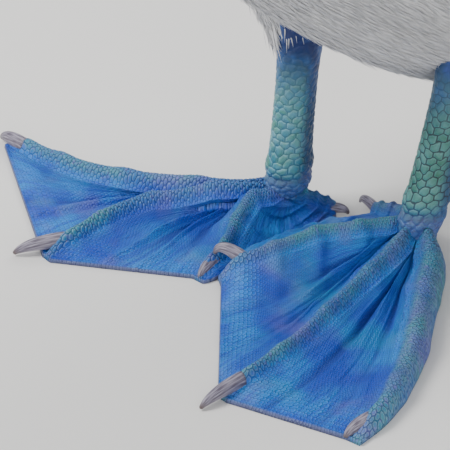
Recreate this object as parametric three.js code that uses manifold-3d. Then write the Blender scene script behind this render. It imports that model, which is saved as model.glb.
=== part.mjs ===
// A blue-footed booby standing on its own webbed feet, life size, in millimetres.
// The bird faces -Y, its left side is +X and up is +Z. Every point below is first placed from the
// floor point midway between the ankles, and the whole bird is centred on its own box at the end.
import * as THREE from "three";
import { mergeVertices } from "three/addons/utils/BufferGeometryUtils.js";
import Module from "manifold-3d";

const wasm = await Module();
wasm.setup();

// Driving dimensions
const GAP = 0.35; // clearance between two pieces that touch in life
const BODY_SIDES = 26; // sides of the body's cross-sections
const BILL_LENGTH = 103;
const BILL_DEPTH = 33;
const BILL_WIDTH = 25;
const EYE_RADIUS = 8.2;
const TAIL_FEATHERS = 10;
const TAIL_LENGTH = 205; // longest pair of tail feathers
const VANE_THICKNESS = 1.1;
const WEB_THICKNESS = 1.3;
const WEB_REACH = 6.2; // how far the webs' free edges lie ahead of the toes' ends
const TARSUS_SIDES = 16;
const TOE_SIDES = 8;
const BILL_SIDES = 12;
const BALL_SIDES = 12;
const BALL_RINGS = 7;

// Materials
const skinMaterial = (colour, roughness) =>
  new THREE.MeshStandardMaterial({ color: colour, roughness, metalness: 0 });
const MATERIALS = {
  whitePlumage: skinMaterial(0xe9e8e4, 0.9),
  headPlumage: skinMaterial(0xcbb9a2, 0.9),
  wingPlumage: skinMaterial(0x54453a, 0.85),
  tailPlumage: skinMaterial(0x6b5a4b, 0.85),
  bill: skinMaterial(0x7f949c, 0.45),
  eye: skinMaterial(0xe6c34a, 0.1),
  leg: skinMaterial(0x4fa6b0, 0.55),
  foot: skinMaterial(0x3f86d8, 0.5),
  claw: skinMaterial(0x8b8078, 0.5),
};

// Geometry helpers

/** Point from forward distance, height and distance to the bird's left. */
const place = (forward, height, left = 0) => new THREE.Vector3(left, -forward, height);

/** Smooth curve through a list of points. */
const curveOf = (points) => new THREE.CatmullRomCurve3(points, false, "centripetal");

/** Value of a list of evenly spaced numbers at a share of its length, eased between neighbours. */
function blend(values, share) {
  const at = THREE.MathUtils.clamp(share, 0, 1) * (values.length - 1);
  const low = Math.min(Math.floor(at), values.length - 2);
  const valueAt = (i) => values[THREE.MathUtils.clamp(i, 0, values.length - 1)];
  const [p, a, b, q] = [low - 1, low, low + 1, low + 2].map(valueAt);
  const t = at - low;
  return a + 0.5 * t * (b - p + t * (2 * p - 5 * a + 4 * b - q + t * (3 * (a - b) + q - p)));
}

/** Closed geometry through rings of points, each ring with the same number of points. */
function loft(rings) {
  const sides = rings[0].length;
  const positions = [];
  const faces = [];
  rings.forEach((ring) => ring.forEach((p) => positions.push(p.x, p.y, p.z)));
  for (let r = 0; r + 1 < rings.length; r++)
    for (let i = 0; i < sides; i++) {
      const a = r * sides + i;
      const b = r * sides + ((i + 1) % sides);
      faces.push(a, b, a + sides, b, b + sides, a + sides);
    }
  const cap = (ring, start, reverse) => {
    const middle = ring.reduce((sum, p) => sum.add(p), new THREE.Vector3()).divideScalar(sides);
    const m = positions.length / 3;
    positions.push(middle.x, middle.y, middle.z);
    for (let i = 0; i < sides; i++) {
      const [a, b] = [start + i, start + ((i + 1) % sides)];
      faces.push(...(reverse ? [b, a, m] : [a, b, m]));
    }
  };
  cap(rings[0], 0, true);
  cap(rings[rings.length - 1], (rings.length - 1) * sides, false);
  const geometry = new THREE.BufferGeometry();
  geometry.setAttribute("position", new THREE.Float32BufferAttribute(positions, 3));
  geometry.setIndex(faces);
  return geometry;
}

/** Solid of a closed geometry, turned the right way out. */
function solid(geometry) {
  const bare = geometry.clone();
  bare.deleteAttribute("normal");
  bare.deleteAttribute("uv");
  const merged = mergeVertices(bare, 1e-4);
  const vertProperties = new Float32Array(merged.attributes.position.array);
  const triVerts = new Uint32Array(merged.index.array);
  const build = () =>
    new wasm.Manifold(
      new wasm.Mesh({ numProp: 3, vertProperties, triVerts }),
    );
  const firstTry = build();
  if (firstTry.volume() > 0) return firstTry;
  for (let i = 0; i < triVerts.length; i += 3) {
    const second = triVerts[i + 1];
    triVerts[i + 1] = triVerts[i + 2];
    triVerts[i + 2] = second;
  }
  return build();
}

/** Union of a list of solids. */
const join = (solids) => solids.slice(1).reduce((sum, s) => sum.add(s), solids[0]);

/** The largest closed body of a solid, without its loose scraps. */
function largest(made) {
  return made.decompose().sort((a, b) => b.volume() - a.volume())[0];
}

/** Large thin box whose middle plane passes through a point, facing along a direction. */
function slab(point, direction, thickness, reach = 400) {
  const facing = direction.clone().normalize();
  const turn = new THREE.Quaternion().setFromUnitVectors(new THREE.Vector3(0, 0, 1), facing);
  const box = new THREE.BoxGeometry(reach, reach, thickness);
  box.applyQuaternion(turn);
  box.translate(point.x, point.y, point.z);
  return solid(box);
}

/** Everything on the far side of a plane, as a large block. */
function farBlock(point, direction, depth = 700) {
  const ahead = direction.clone().normalize();
  return slab(point.clone().addScaledVector(ahead, depth / 2), ahead, depth, depth);
}

/** Ball with few faces, for eyes and sockets. */
function ball(centre, radius) {
  const sphere = new THREE.SphereGeometry(radius, BALL_SIDES, BALL_RINGS);
  sphere.rotateZ(Math.PI / 2);
  sphere.translate(centre.x, centre.y, centre.z);
  return solid(sphere);
}

const group = new THREE.Group();

/** Adds one named node from a solid. */
function addNode(name, made, material) {
  const mesh = made.getMesh();
  const count = mesh.numVert;
  const points = new Float32Array(count * 3);
  for (let i = 0; i < count; i++) {
    const first = i * mesh.numProp;
    points.set(mesh.vertProperties.subarray(first, first + 3), i * 3);
  }
  const geometry = new THREE.BufferGeometry();
  geometry.setAttribute("position", new THREE.BufferAttribute(points, 3));
  geometry.setIndex(new THREE.BufferAttribute(new Uint32Array(mesh.triVerts), 1));
  geometry.computeVertexNormals();
  const node = new THREE.Mesh(geometry, material);
  node.name = name;
  group.add(node);
}

// Body form: belly line and back line in the bird's middle plane, with half widths, tail to head.
// Each row is belly forward, belly height, back forward, back height, half width.
const TRUNK = [
  [-139, 66, -128, 101, 20],
  [-112, 50, -113, 119, 38],
  [-78, 41, -99, 138, 53],
  [-42, 42, -84, 160, 62],
  [-10, 56, -67, 185, 66],
  [24, 81, -47, 213, 67],
  [57, 114, -26, 242, 65],
  [84, 158, -5, 270, 60],
  [104, 204, 14, 295, 52],
  [109, 246, 30, 318, 44],
  [106, 282, 42, 342, 36],
  [107, 314, 54, 364, 31],
  [112, 343, 66, 382, 28],
  [119, 370, 74, 401, 26],
  [131, 391, 72, 430, 25],
  [143, 404, 84, 452, 24],
  [150, 411, 112, 459, 21],
  [156, 416, 136, 449, 16],
];
// How far the belly feathers hang below the body's round between the legs, per row
const KEEL_DEPTH = [0, 2, 8, 15, 17, 14, 9, 5, 2, 0, 0, 0, 0, 0, 0, 0, 0, 0];
const KEEL_SPREAD = 20;
const KEEL_CROWDING = 300; // less of it draws more of a ring's points towards the keel
const NECK_START = 9.6; // row where the neck begins
const HEAD_START = 13.1; // row where the head begins
const TRUNK_RINGS = 28;
const BODY_SQUARENESS = 2.2; // 2 is an ellipse, more is fuller at the shoulders

/** Ring of the body at a row position, grown outwards by a distance. */
function bodyRing(row, grow = 0, sides = BODY_SIDES) {
  const column = (k) => blend(TRUNK.map((r) => r[k]), row / (TRUNK.length - 1));
  const belly = place(column(0), column(1));
  const back = place(column(2), column(3));
  const middle = belly.clone().add(back).multiplyScalar(0.5);
  const up = back.clone().sub(belly);
  const halfHeight = up.length() / 2 + grow;
  up.normalize();
  const halfWidth = column(4) + grow;
  const keel = blend(KEEL_DEPTH, row / (TRUNK.length - 1));
  const ring = [];
  for (let i = 0; i < sides; i++) {
    const share = i / sides;
    const angle = (share - (keel / KEEL_CROWDING) * Math.sin(share * Math.PI * 4)) * Math.PI * 2;
    const [c, s] = [Math.cos(angle), Math.sin(angle)];
    const power = 2 / BODY_SQUARENESS;
    const x = Math.sign(s) * Math.abs(s) ** power * halfWidth;
    const hang = c < 0 ? keel * (Math.exp(-((x / KEEL_SPREAD) ** 2)) - Math.abs(c) ** power) : 0;
    const y = Math.sign(c) * Math.abs(c) ** power * halfHeight - hang;
    ring.push(middle.clone().add(up.clone().multiplyScalar(y)).add(new THREE.Vector3(x, 0, 0)));
  }
  return ring;
}

/** Point on the wing's guide surface: row along the body, angle from the back, distance outwards. */
function bodyPoint(row, degrees, out, side) {
  const column = (k) => blend(GUIDE.map((r) => r[k]), row / (GUIDE.length - 1));
  const belly = place(column(0), column(1));
  const back = place(column(2), column(3));
  const middle = belly.clone().add(back).multiplyScalar(0.5);
  const up = back.clone().sub(belly);
  const halfHeight = up.length() / 2 + out;
  up.normalize();
  const angle = THREE.MathUtils.degToRad(degrees);
  const power = 2 / BODY_SQUARENESS;
  const x = Math.abs(Math.sin(angle)) ** power * (column(4) + out);
  const y = Math.sign(Math.cos(angle)) * Math.abs(Math.cos(angle)) ** power * halfHeight;
  return middle.add(up.multiplyScalar(y)).add(new THREE.Vector3(side * x, 0, 0));
}

/** The body between two rows, grown outwards by a distance. */
function bodySolid(grow = 0, from = 0, to = TRUNK.length - 1) {
  const rings = [];
  for (let i = 0; i <= TRUNK_RINGS; i++) {
    rings.push(bodyRing(from + ((to - from) * i) / TRUNK_RINGS, grow));
  }
  return solid(loft(rings));
}

/** Plane through the middle of the body at a row: a point and the direction towards the head. */
function bodyPlane(row) {
  const centre = (r) => {
    const ring = bodyRing(r);
    return ring.reduce((sum, p) => sum.add(p), new THREE.Vector3()).divideScalar(ring.length);
  };
  const ring = bodyRing(row);
  const up = ring[0].clone().sub(ring[BODY_SIDES / 2]).normalize();
  const ahead = new THREE.Vector3(1, 0, 0).cross(up).normalize();
  if (ahead.dot(centre(row + 0.2).sub(centre(row))) < 0) ahead.negate();
  return { point: centre(row), ahead };
}

// Guide surface of the folded wings: the body's rows, reversed from shoulder to tail, then on over the tail.
const OVER_TAIL = [
  [-178, 58, -160, 93, 31],
  [-225, 48, -212, 82, 27],
  [-278, 38, -268, 69, 20],
  [-330, 30, -324, 54, 12],
];
const TAIL_ROOT = [-139, 66, -128, 101, 31];
const GUIDE = [...TRUNK.slice(1, 10).reverse(), TAIL_ROOT, ...OVER_TAIL];

// Head, bill and eyes
const BILL_BASE = place(144, 429);
const BILL_ROOT = 16; // how far the bill's root lies inside the face
const BILL_TIP_DROP = 17; // how far the tip lies below the base's middle
const BILL_STEPS = 11;
const BILL_BLUNT_FROM = 0.97; // share of the length where the depth falls to its least
const BILL_LEAST_DEPTH = 1.16; // half depth at the very tip
const BILL_LEAST_WIDTH = 0.8; // half width at the very tip
const LOWER_BILL_DEPTH = 0.82; // depth of the lower half as a share of the upper
const MOUTH_BELOW = 4.5; // how far the mouth line lies below the middle at the base
const MOUTH_BACK = 22; // how far the mouth line runs back inside the face
const MOUTH_PAST_TIP = 4;
const MOUTH_STEPS = 8;
const MOUTH_HALF_SPAN = 40; // more than half the bill's width
const MOUTH_CORNER = place(128, 425);
const FACE_NORMAL = new THREE.Vector3(0, -1, -0.12).normalize();
const FACE_BEHIND = 3; // how far the plane between face and bill lies behind the bill's base
const EYE_CENTRE = { forward: 124, height: 437, left: 17.4 };
const EYE_TURN = -0.3; // the eyes look a little forward
const LID_RADIUS = EYE_RADIUS - 1.1;
const LID_TUBE = 1.5;
const LID_OUT = 0.56; // place of the lids on the eye's axis, as a share of its radius

/** Centre of the eye of one side. */
const eyeCentre = (side) => place(EYE_CENTRE.forward, EYE_CENTRE.height, side * EYE_CENTRE.left);

/** Direction in which the eye of one side looks. */
const eyeAxis = (side) => new THREE.Vector3(side * Math.cos(EYE_TURN), Math.sin(EYE_TURN), 0);

/** The whole bill: tapered, with a tip that bends down. */
function billSolid() {
  const rings = [];
  for (let i = 0; i <= BILL_STEPS; i++) {
    const forward = -BILL_ROOT + ((BILL_LENGTH + BILL_ROOT) * i) / BILL_STEPS;
    const share = Math.max(forward, 0) / BILL_LENGTH;
    const depthTaper = 1 - 0.42 * share - 0.5 * share ** 3;
    const widthTaper = 1 - 0.62 * share - 0.3 * share ** 3;
    const halfDepth = share > BILL_BLUNT_FROM ? BILL_LEAST_DEPTH : (BILL_DEPTH / 2) * depthTaper;
    const halfWidth = Math.max((BILL_WIDTH / 2) * widthTaper, BILL_LEAST_WIDTH);
    const drop = BILL_TIP_DROP * (0.45 * share + 0.55 * share ** 4);
    const ring = [];
    for (let k = 0; k < BILL_SIDES; k++) {
      const angle = (k / BILL_SIDES) * Math.PI * 2;
      const depth = halfDepth * (Math.cos(angle) > 0 ? 1 : LOWER_BILL_DEPTH);
      const x = Math.sin(angle) * halfWidth;
      ring.push(new THREE.Vector3(x, BILL_BASE.y - forward, BILL_BASE.z - drop + Math.cos(angle) * depth));
    }
    rings.push(ring);
  }
  return solid(loft(rings));
}

/** Block that follows the mouth line, from one height over it to another. */
function mouthBlock(low, high) {
  const rings = [];
  for (let i = 0; i <= MOUTH_STEPS; i++) {
    const forward = -MOUTH_BACK + ((BILL_LENGTH + MOUTH_BACK + MOUTH_PAST_TIP) * i) / MOUTH_STEPS;
    const share = Math.max(forward, 0) / BILL_LENGTH;
    const z = BILL_BASE.z - MOUTH_BELOW - BILL_TIP_DROP * (0.36 * share + 0.62 * share ** 4);
    const y = BILL_BASE.y - forward;
    rings.push([
      new THREE.Vector3(-MOUTH_HALF_SPAN, y, z + low),
      new THREE.Vector3(MOUTH_HALF_SPAN, y, z + low),
      new THREE.Vector3(MOUTH_HALF_SPAN, y, z + high),
      new THREE.Vector3(-MOUTH_HALF_SPAN, y, z + high),
    ]);
  }
  return solid(loft(rings));
}

/** Raised ring of bare skin round an eye. */
function eyelid(side) {
  const torus = new THREE.TorusGeometry(LID_RADIUS, LID_TUBE, 6, 14);
  torus.rotateY(Math.PI / 2);
  torus.rotateZ(side * EYE_TURN);
  const centre = eyeCentre(side).addScaledVector(eyeAxis(side), EYE_RADIUS * LID_OUT);
  torus.translate(centre.x, centre.y, centre.z);
  return solid(torus);
}

/** Block of everything ahead of a plane, moved ahead by a distance. */
const beyond = (point, ahead, distance) => farBlock(point.clone().addScaledVector(ahead, distance), ahead);

/** Torso, neck, head, both halves of the bill and both eyes. */
function buildHeadAndBody() {
  const body = bodySolid().add(eyelid(1)).add(eyelid(-1));
  const neck = bodyPlane(NECK_START);
  const head = bodyPlane(HEAD_START);
  const torso = largest(body.subtract(beyond(neck.point, neck.ahead, -GAP / 2)));
  const upper = body.intersect(beyond(neck.point, neck.ahead, GAP / 2));
  const neckSolid = largest(upper.subtract(beyond(head.point, head.ahead, -GAP / 2)));
  let headSolid = largest(upper.intersect(beyond(head.point, head.ahead, GAP / 2)));
  const facePoint = BILL_BASE.clone().addScaledVector(FACE_NORMAL, -FACE_BEHIND);
  const bill = billSolid().intersect(beyond(facePoint, FACE_NORMAL, GAP));
  headSolid = headSolid.add(billSolid()).subtract(farBlock(facePoint, FACE_NORMAL));
  const mouth = mouthBlock(-GAP / 2, GAP / 2);
  const aboveMouth = mouthBlock(0, MOUTH_HALF_SPAN);
  headSolid = headSolid.subtract(mouth.intersect(farBlock(MOUTH_CORNER, new THREE.Vector3(0, -1, 0))));
  for (const side of [1, -1]) headSolid = headSolid.subtract(ball(eyeCentre(side), EYE_RADIUS + GAP));
  addNode("torso", torso, MATERIALS.whitePlumage);
  addNode("neck", neckSolid, MATERIALS.headPlumage);
  addNode("head", largest(headSolid), MATERIALS.headPlumage);
  addNode("bill_upper", largest(bill.intersect(aboveMouth).subtract(mouth)), MATERIALS.bill);
  addNode("bill_lower", largest(bill.subtract(aboveMouth).subtract(mouth)), MATERIALS.bill);
  addNode("eye_l", ball(eyeCentre(1), EYE_RADIUS), MATERIALS.eye);
  addNode("eye_r", ball(eyeCentre(-1), EYE_RADIUS), MATERIALS.eye);
}

// Feathers
const VANE_TIP_FROM = 0.5; // share of a vane's length where its tip begins to round off

/** Half width of a vane at a share of its length, as a share of its widest. */
function vaneOutline(t) {
  const rounding = Math.max((t - VANE_TIP_FROM) / 0.52, 0) ** 2.6;
  return Math.min(1, 0.6 + 1.6 * t) * Math.sqrt(Math.max(1 - rounding, 0.03));
}

/** One flat vane along a path, lying across the normals, with a rounded tip. */
function vane(path, normals, width, grow = 0) {
  const steps = path.length - 1;
  const rings = path.map((p, i) => {
    const along = path[Math.min(i + 1, steps)].clone().sub(path[Math.max(i - 1, 0)]).normalize();
    const across = along.clone().cross(normals[i]).normalize();
    const half = (width / 2) * vaneOutline(i / steps) + grow;
    const lift = normals[i].clone().multiplyScalar(VANE_THICKNESS / 2 + grow);
    const point = p.clone().addScaledVector(along, i === steps ? grow : 0);
    return [
      point.clone().addScaledVector(across, half).sub(lift),
      point.clone().addScaledVector(across, -half).sub(lift),
      point.clone().addScaledVector(across, -half).add(lift),
      point.clone().addScaledVector(across, half).add(lift),
    ];
  });
  return solid(loft(rings));
}

const RISE_POWER = 0.6; // how early a vane rises over the ones behind it
const NORMAL_STEP = 4; // distance over which a surface's outward direction is taken

/** Vane on the wing's guide surface, from a root to a tip given as row, degrees and height above it. */
function wingVane(side, root, tip, width, steps, grow) {
  const path = [];
  const normals = [];
  for (let i = 0; i <= steps; i++) {
    const t = i / steps;
    const [row, degrees] = [0, 1].map((k) => root[k] + (tip[k] - root[k]) * t);
    const out = root[2] + (tip[2] - root[2]) * t ** RISE_POWER;
    const p = bodyPoint(row, degrees, out, side);
    path.push(p);
    normals.push(bodyPoint(row, degrees, out + NORMAL_STEP, side).sub(p).normalize());
  }
  return vane(path, normals, width, grow);
}

// Wing layout, in rows of the guide surface and degrees from the back's middle line
const WING_FRONT = 0.9;
const WING_REAR = 13.1;
const WRIST_END = 7.4; // row where the primaries leave the arm
const WING_PAD = 5.2; // thickness of the folded wing's arm
const HAND_THINNING = 3.4; // how much thinner the hand is than the arm
const HAND_THIN_FROM = 6.2; // row where the thinning begins
const PAD_OVER = 0.8; // how far the pad's rim lies over the guide surface
const PAD_UNDER = 1.5; // how far the pad reaches under it
const PAD_STEPS_ACROSS = 6;
const HAND_SHORTER = 1.6; // rows that the hand's pad ends before the wing's rear
const WING_ROWS = 13;
const LOWER_EDGE = [72, 90, 96, 97, 96, 95, 94, 94, 94, 94, 93, 91, 89, 86];
const UPPER_EDGE = [44, 26, 14, 11, 10, 10, 11, 14, 24, 36, 46, 55, 64, 74];

/** Degrees at which the wing's lower edge lies at a row. */
const lowerEdge = (row) => blend(LOWER_EDGE, row / WING_ROWS);

/** Degrees at which the wing's upper edge lies at a row. */
const upperEdge = (row) => blend(UPPER_EDGE, row / WING_ROWS);

/** Thickness of the wing's pad at a row: thin at both ends, thinner over the hand. */
function padThickness(row) {
  const t = (row - WING_FRONT) / (WING_REAR - WING_FRONT);
  const over = WING_PAD - HAND_THINNING * THREE.MathUtils.smoothstep(row, HAND_THIN_FROM, WRIST_END);
  return over * Math.min(1, 0.35 + 4 * t) * Math.min(1, 0.2 + 1.6 * (1.05 - t));
}

const LAYER = 1.55; // height between a vane and the next one over it
const TIERS = {
  primaries: {
    count: 4,
    roots: [[7.6, 82], [8.4, 54]],
    tips: [[11.8, 62], [12.9, 44]],
    width: 23,
    out: [1.2, 4.6],
    steps: 4,
  },
  secondaries: {
    count: 5,
    roots: [[5.2, 82], [6.5, 30]],
    tips: [[8.4, 82], [9.5, 34]],
    width: 33,
    out: [3.4, 7.2],
    steps: 3,
  },
  greater: {
    count: 4,
    roots: [[3.3, 80], [4.6, 32]],
    tips: [[5.9, 80], [6.9, 35]],
    width: 38,
    out: [3.2, 8.0],
    steps: 2,
  },
  median: {
    count: 4,
    roots: [[2.0, 76], [2.9, 36]],
    tips: [[3.9, 80], [4.8, 38]],
    width: 36,
    out: [3.0, 8.4],
    steps: 2,
  },
  scapulars: {
    count: 2,
    roots: [[1.7, 30], [3.2, 24]],
    tips: [[4.4, 25], [6.4, 19]],
    width: 32,
    out: [3.2, 9.0],
    steps: 2,
  },
};
const ROW_VARIATION = 0.12; // how unevenly the tips of a tier end, in rows

/** All vanes of one tier of a wing. */
function tierVanes(side, tier, grow = 0) {
  const made = [];
  for (let i = 0; i < tier.count; i++) {
    const share = i / (tier.count - 1);
    const between = (ends, k) => ends[0][k] + (ends[1][k] - ends[0][k]) * share;
    const layer = (i % 2) * LAYER;
    const vary = ROW_VARIATION * Math.sin(i * 2.4 + tier.width);
    const root = [between(tier.roots, 0), between(tier.roots, 1), tier.out[0] + layer * 0.4];
    const tip = [between(tier.tips, 0) + vary, between(tier.tips, 1), tier.out[1] + layer];
    made.push(wingVane(side, root, tip, tier.width, tier.steps, grow));
  }
  return made;
}

/** Arm of the folded wing: a smooth pad over the body's side. */
function wingPad(side, from, to, steps, grow = 0) {
  const rings = [];
  for (let i = 0; i <= steps; i++) {
    const row = from + ((to - from) * i) / steps;
    const low = lowerEdge(row) + grow * 2;
    const top = upperEdge(row);
    const outer = [];
    const inner = [];
    for (let k = 0; k <= PAD_STEPS_ACROSS; k++) {
      const share = k / PAD_STEPS_ACROSS;
      const degrees = top + (low - top) * share;
      const rim = Math.max(Math.sin(Math.PI * share), 0) ** 0.45;
      outer.push(bodyPoint(row, degrees, PAD_OVER + padThickness(row) * rim + grow, side));
      inner.push(bodyPoint(row, degrees, -PAD_UNDER, side));
    }
    rings.push([...outer, ...inner.reverse()]);
  }
  return solid(loft(rings));
}

/** Adds the arm of one wing and returns its hand with the primaries. */
function buildWing(side, suffix) {
  const bodyBlock = bodySolid(GAP + 0.25, 0, 10.4);
  const arm = join([
    wingPad(side, WING_FRONT, WRIST_END, 10),
    ...["secondaries", "greater", "median", "scapulars"].flatMap((tier) => tierVanes(side, TIERS[tier])),
  ]);
  addNode("wing_" + suffix, largest(arm.subtract(bodyBlock)), MATERIALS.wingPlumage);
  const palm = wingPad(side, WRIST_END + 0.02, WING_REAR - HAND_SHORTER, 7);
  const hand = join([palm, ...tierVanes(side, TIERS.primaries)]);
  const grownSecondaries = join(tierVanes(side, TIERS.secondaries, GAP));
  return hand.subtract(grownSecondaries).subtract(bodyBlock).subtract(tailForm(GAP));
}

const TAIL_BASE = place(-126, 83);
const TAIL_SLOPE = THREE.MathUtils.degToRad(14);
const TAIL_LAYER = 1.6; // height between a tail feather and the next outer one
const TAIL_WIDTH = 25; // width of one feather
const TAIL_SHORTENING = 0.4; // how much shorter the outermost pair is than the middle one
const TAIL_ROOT_SPREAD = 12; // how far the outermost feather's root lies to the side
const TAIL_FAN = 0.13; // turn of the outermost feather to the side
const TAIL_LIFT = 5;
const TAIL_SINK = 16; // how far the root lies inside the body
const TAIL_ROOT_LENGTH = 92;
const TAIL_ROOT_SIDES = 14;
const TAIL_ROOT_STEPS = 7;
const TAIL_ROOT_WIDTHS = [19, 24, 25, 20];
const TAIL_ROOT_DEPTHS = [17, 11, 7, 3];
const TAIL_HALF_COUNT = (TAIL_FEATHERS - 1) / 2;

/** Path of one tail feather: its share of the fan runs from -1 at the right edge to 1 at the left. */
function tailPath(fan, steps) {
  const length = TAIL_LENGTH * (1 - TAIL_SHORTENING * Math.abs(fan) ** 1.3);
  const level = -Math.abs(fan) * TAIL_HALF_COUNT * TAIL_LAYER + (Math.sign(fan) * TAIL_LAYER) / 4;
  const path = [];
  for (let k = 0; k <= steps; k++) {
    const run = 4 + length * (k / steps);
    const left = fan * TAIL_ROOT_SPREAD + Math.sin(fan * TAIL_FAN) * run;
    const drop = level * Math.min(1, 0.45 + run / 70);
    const y = TAIL_BASE.y + Math.cos(TAIL_SLOPE) * run;
    const z = TAIL_BASE.z - Math.sin(TAIL_SLOPE) * run + drop + TAIL_LIFT;
    path.push(new THREE.Vector3(left, y, z));
  }
  return path;
}

/** Root of the tail, and under it the small feathers that taper away, grown outwards by a distance. */
function tailRoot(grow = 0) {
  const rings = [];
  for (let i = 0; i <= TAIL_ROOT_STEPS; i++) {
    const t = i / TAIL_ROOT_STEPS;
    const run = -TAIL_SINK + TAIL_ROOT_LENGTH * t;
    const width = blend(TAIL_ROOT_WIDTHS, t) + grow;
    const depth = blend(TAIL_ROOT_DEPTHS, t) + grow;
    const y = TAIL_BASE.y + Math.cos(TAIL_SLOPE) * run;
    const z = TAIL_BASE.z - Math.sin(TAIL_SLOPE) * run - 1.5 * t;
    const ring = [];
    for (let k = 0; k < TAIL_ROOT_SIDES; k++) {
      const angle = (k / TAIL_ROOT_SIDES) * Math.PI * 2;
      ring.push(new THREE.Vector3(Math.sin(angle) * width, y, z + Math.cos(angle) * depth));
    }
    rings.push(ring);
  }
  return solid(loft(rings));
}

/** The whole tail: its feathers fanned in layers from the middle pair down, joined to the root. */
function tailForm(grow = 0) {
  const normal = new THREE.Vector3(0, Math.sin(TAIL_SLOPE), Math.cos(TAIL_SLOPE));
  const made = [tailRoot(grow)];
  for (let i = 0; i < TAIL_FEATHERS; i++) {
    const path = tailPath((i - TAIL_HALF_COUNT) / TAIL_HALF_COUNT, 4);
    const normals = path.map(() => normal.clone());
    made.push(vane(path, normals, TAIL_WIDTH, grow));
  }
  return join(made);
}

// Legs and feet. Each toe is a list of left, back, crest height along its top, from the ankle to its claw.
const LEGS = {
  l: {
    ankle: [19.2, 12.6, 13],
    heel: [16.5, 27, 68],
    toes: [
      [
        [24, 11, 13], [32, 7.3, 11.5], [45.3, -3.6, 10], [57.4, -13.4, 10],
        [68, -22.8, 9], [77.4, -33.3, 8], [85, -43.5, 7], [88, -50.2, 6],
      ],
      [
        [20.5, 7, 13], [23.5, 1.1, 12], [29, -9.8, 11], [34, -21.3, 10],
        [40, -33.9, 9.3], [45, -44.9, 8.6], [48.8, -56, 7.8], [52.6, -72.4, 6.3],
      ],
      [
        [15.5, 9, 12.5], [12.4, -2, 12.6], [11.6, -8.8, 13.5], [9.5, -17.2, 14],
        [9.3, -24, 14], [9.1, -32.3, 13.5], [8.4, -40.5, 12.6], [6.8, -45.4, 11],
      ],
      [[14, 12.6, 11.5], [8, 11.4, 10.6], [2.7, 9.2, 9], [-1.8, 7.8, 7.2]],
    ],
    claws: [[87.8, -57, 0.7], [55.1, -86.6, 0.7], [-0.9, -49.6, 8.6], [-10.3, 8.5, 2.2]],
    medialBulge: 6.5,
  },
  r: {
    ankle: [-19.2, -12.6, 13],
    heel: [-15, -11.2, 68],
    toes: [
      [
        [-22, -17, 13.5], [-26, -24.5, 12.5], [-33, -31.6, 11], [-41, -40, 10],
        [-54, -52, 8.5], [-68, -61.3, 7.5], [-82, -67, 6.6], [-91, -69, 6],
      ],
      [
        [-19.5, -17.5, 13.6], [-22.5, -24.5, 13.6], [-27.5, -33.5, 13.6], [-33, -42, 11],
        [-38.4, -53, 9.2], [-39, -63, 8.6], [-37.4, -72.6, 8], [-35.6, -84, 6.6],
      ],
      [
        [-17, -15.5, 13], [-17.4, -21.1, 13.2], [-17.6, -26.6, 13.4], [-14.8, -32, 11.8],
        [-10.6, -37.4, 10.2], [-7, -42, 8.6], [-4.6, -46, 7.4], [-3.4, -49.4, 6.2],
      ],
      [[-17, -12, 11], [-14.4, -7.8, 9.4], [-12.2, -3.6, 7.2], [-10, -0.4, 5.2]],
    ],
    claws: [[-101, -71.4, 0.7], [-41.6, -97.8, 0.7], [-1.5, -54.6, 0.7], [-8.1, 2.9, 0.9]],
    medialBulge: -3,
  },
};
const TOE_HALF_WIDTH = [[5.2, 4.9, 4.6, 3.6], [5.4, 4.9, 4.4, 3.4], [5, 4.5, 4.1, 3.2], [4, 3.6, 3, 2.4]];
const TOE_THICKNESS = [11, 10, 9, 8];
const CLAW_BASE = [2.6, 2.5, 2.3, 1.8];
const CLAW_STEPS = 6;
const CLAW_SIDES = 8;
const CLAW_SINK = 2.5; // how far a claw's root lies inside its toe
const SOLE_SHARE = 0.72; // width of a toe's flat sole as a share of the toe
const TOE_EDGE = 0.22; // height of a toe's edge as a share of its crest
const WEB_BOW = [0, 0, 0.12]; // how far each web's free edge bows in
const WEB_STEPS_ACROSS = 5;
const WEB_STEPS_ALONG = 8;
const SHIN_STEPS = 14;
const SHIN_BELOW = 0.2; // how far the shin runs below the ankle, as a share of its length
const SHIN_SPAN = 1.42; // from that point up into the thigh, as a share of its length
const SHIN_DEPTHS = [8.8, 7.6, 6.9, 6.7, 6.8, 7.6, 8.4];
const SHIN_WIDTHS = [7.2, 6, 5.3, 5.1, 5.3, 6.2, 6.8];
const HEEL_PAD = [[0, 6.4], [3, 8.2], [9, 8.6], [14, 7.4]]; // heights and radii under the ankle
const ANKLE_JOINT = 5; // height of the seam between foot and shin over the ankle
const HIP = { left: 40, back: 2, height: 116 };
const THIGH_RADII = [34, 34, 29, 20, 11.5];
const THIGH_FLATNESS = 0.72;
const THIGH_STEPS = 8;
const THIGH_SIDES = 16;
const THIGH_END = -4; // height of the thigh's lower end over the middle of the heel

/** One toe: a rounded ridge with a flat sole, on the floor or arched off it. */
function toeSolid(points, order) {
  const curve = curveOf(points.map((p) => new THREE.Vector3(...p)));
  const rings = [];
  const steps = Math.max(6, points.length + 1);
  for (let i = 0; i <= steps; i++) {
    const t = i / steps;
    const p = curve.getPoint(t);
    const along = curve.getTangent(t).setZ(0).normalize();
    const across = new THREE.Vector3(-along.y, along.x, 0);
    const half = blend(TOE_HALF_WIDTH[order], t);
    const sole = Math.max(0, p.z - blend(TOE_THICKNESS, t));
    const ring = [];
    for (let k = 0; k < TOE_SIDES; k++) {
      const a = (k / (TOE_SIDES - 1)) * Math.PI;
      const height = sole + (p.z - sole) * (TOE_EDGE + (1 - TOE_EDGE) * Math.sin(a));
      const reach = half * Math.cos(a);
      ring.push(new THREE.Vector3(p.x + across.x * reach, p.y + across.y * reach, height));
    }
    for (const edge of [-half * SOLE_SHARE, half * SOLE_SHARE]) {
      ring.push(new THREE.Vector3(p.x + across.x * edge, p.y + across.y * edge, sole));
    }
    rings.push(ring);
  }
  return solid(loft(rings));
}

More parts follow.
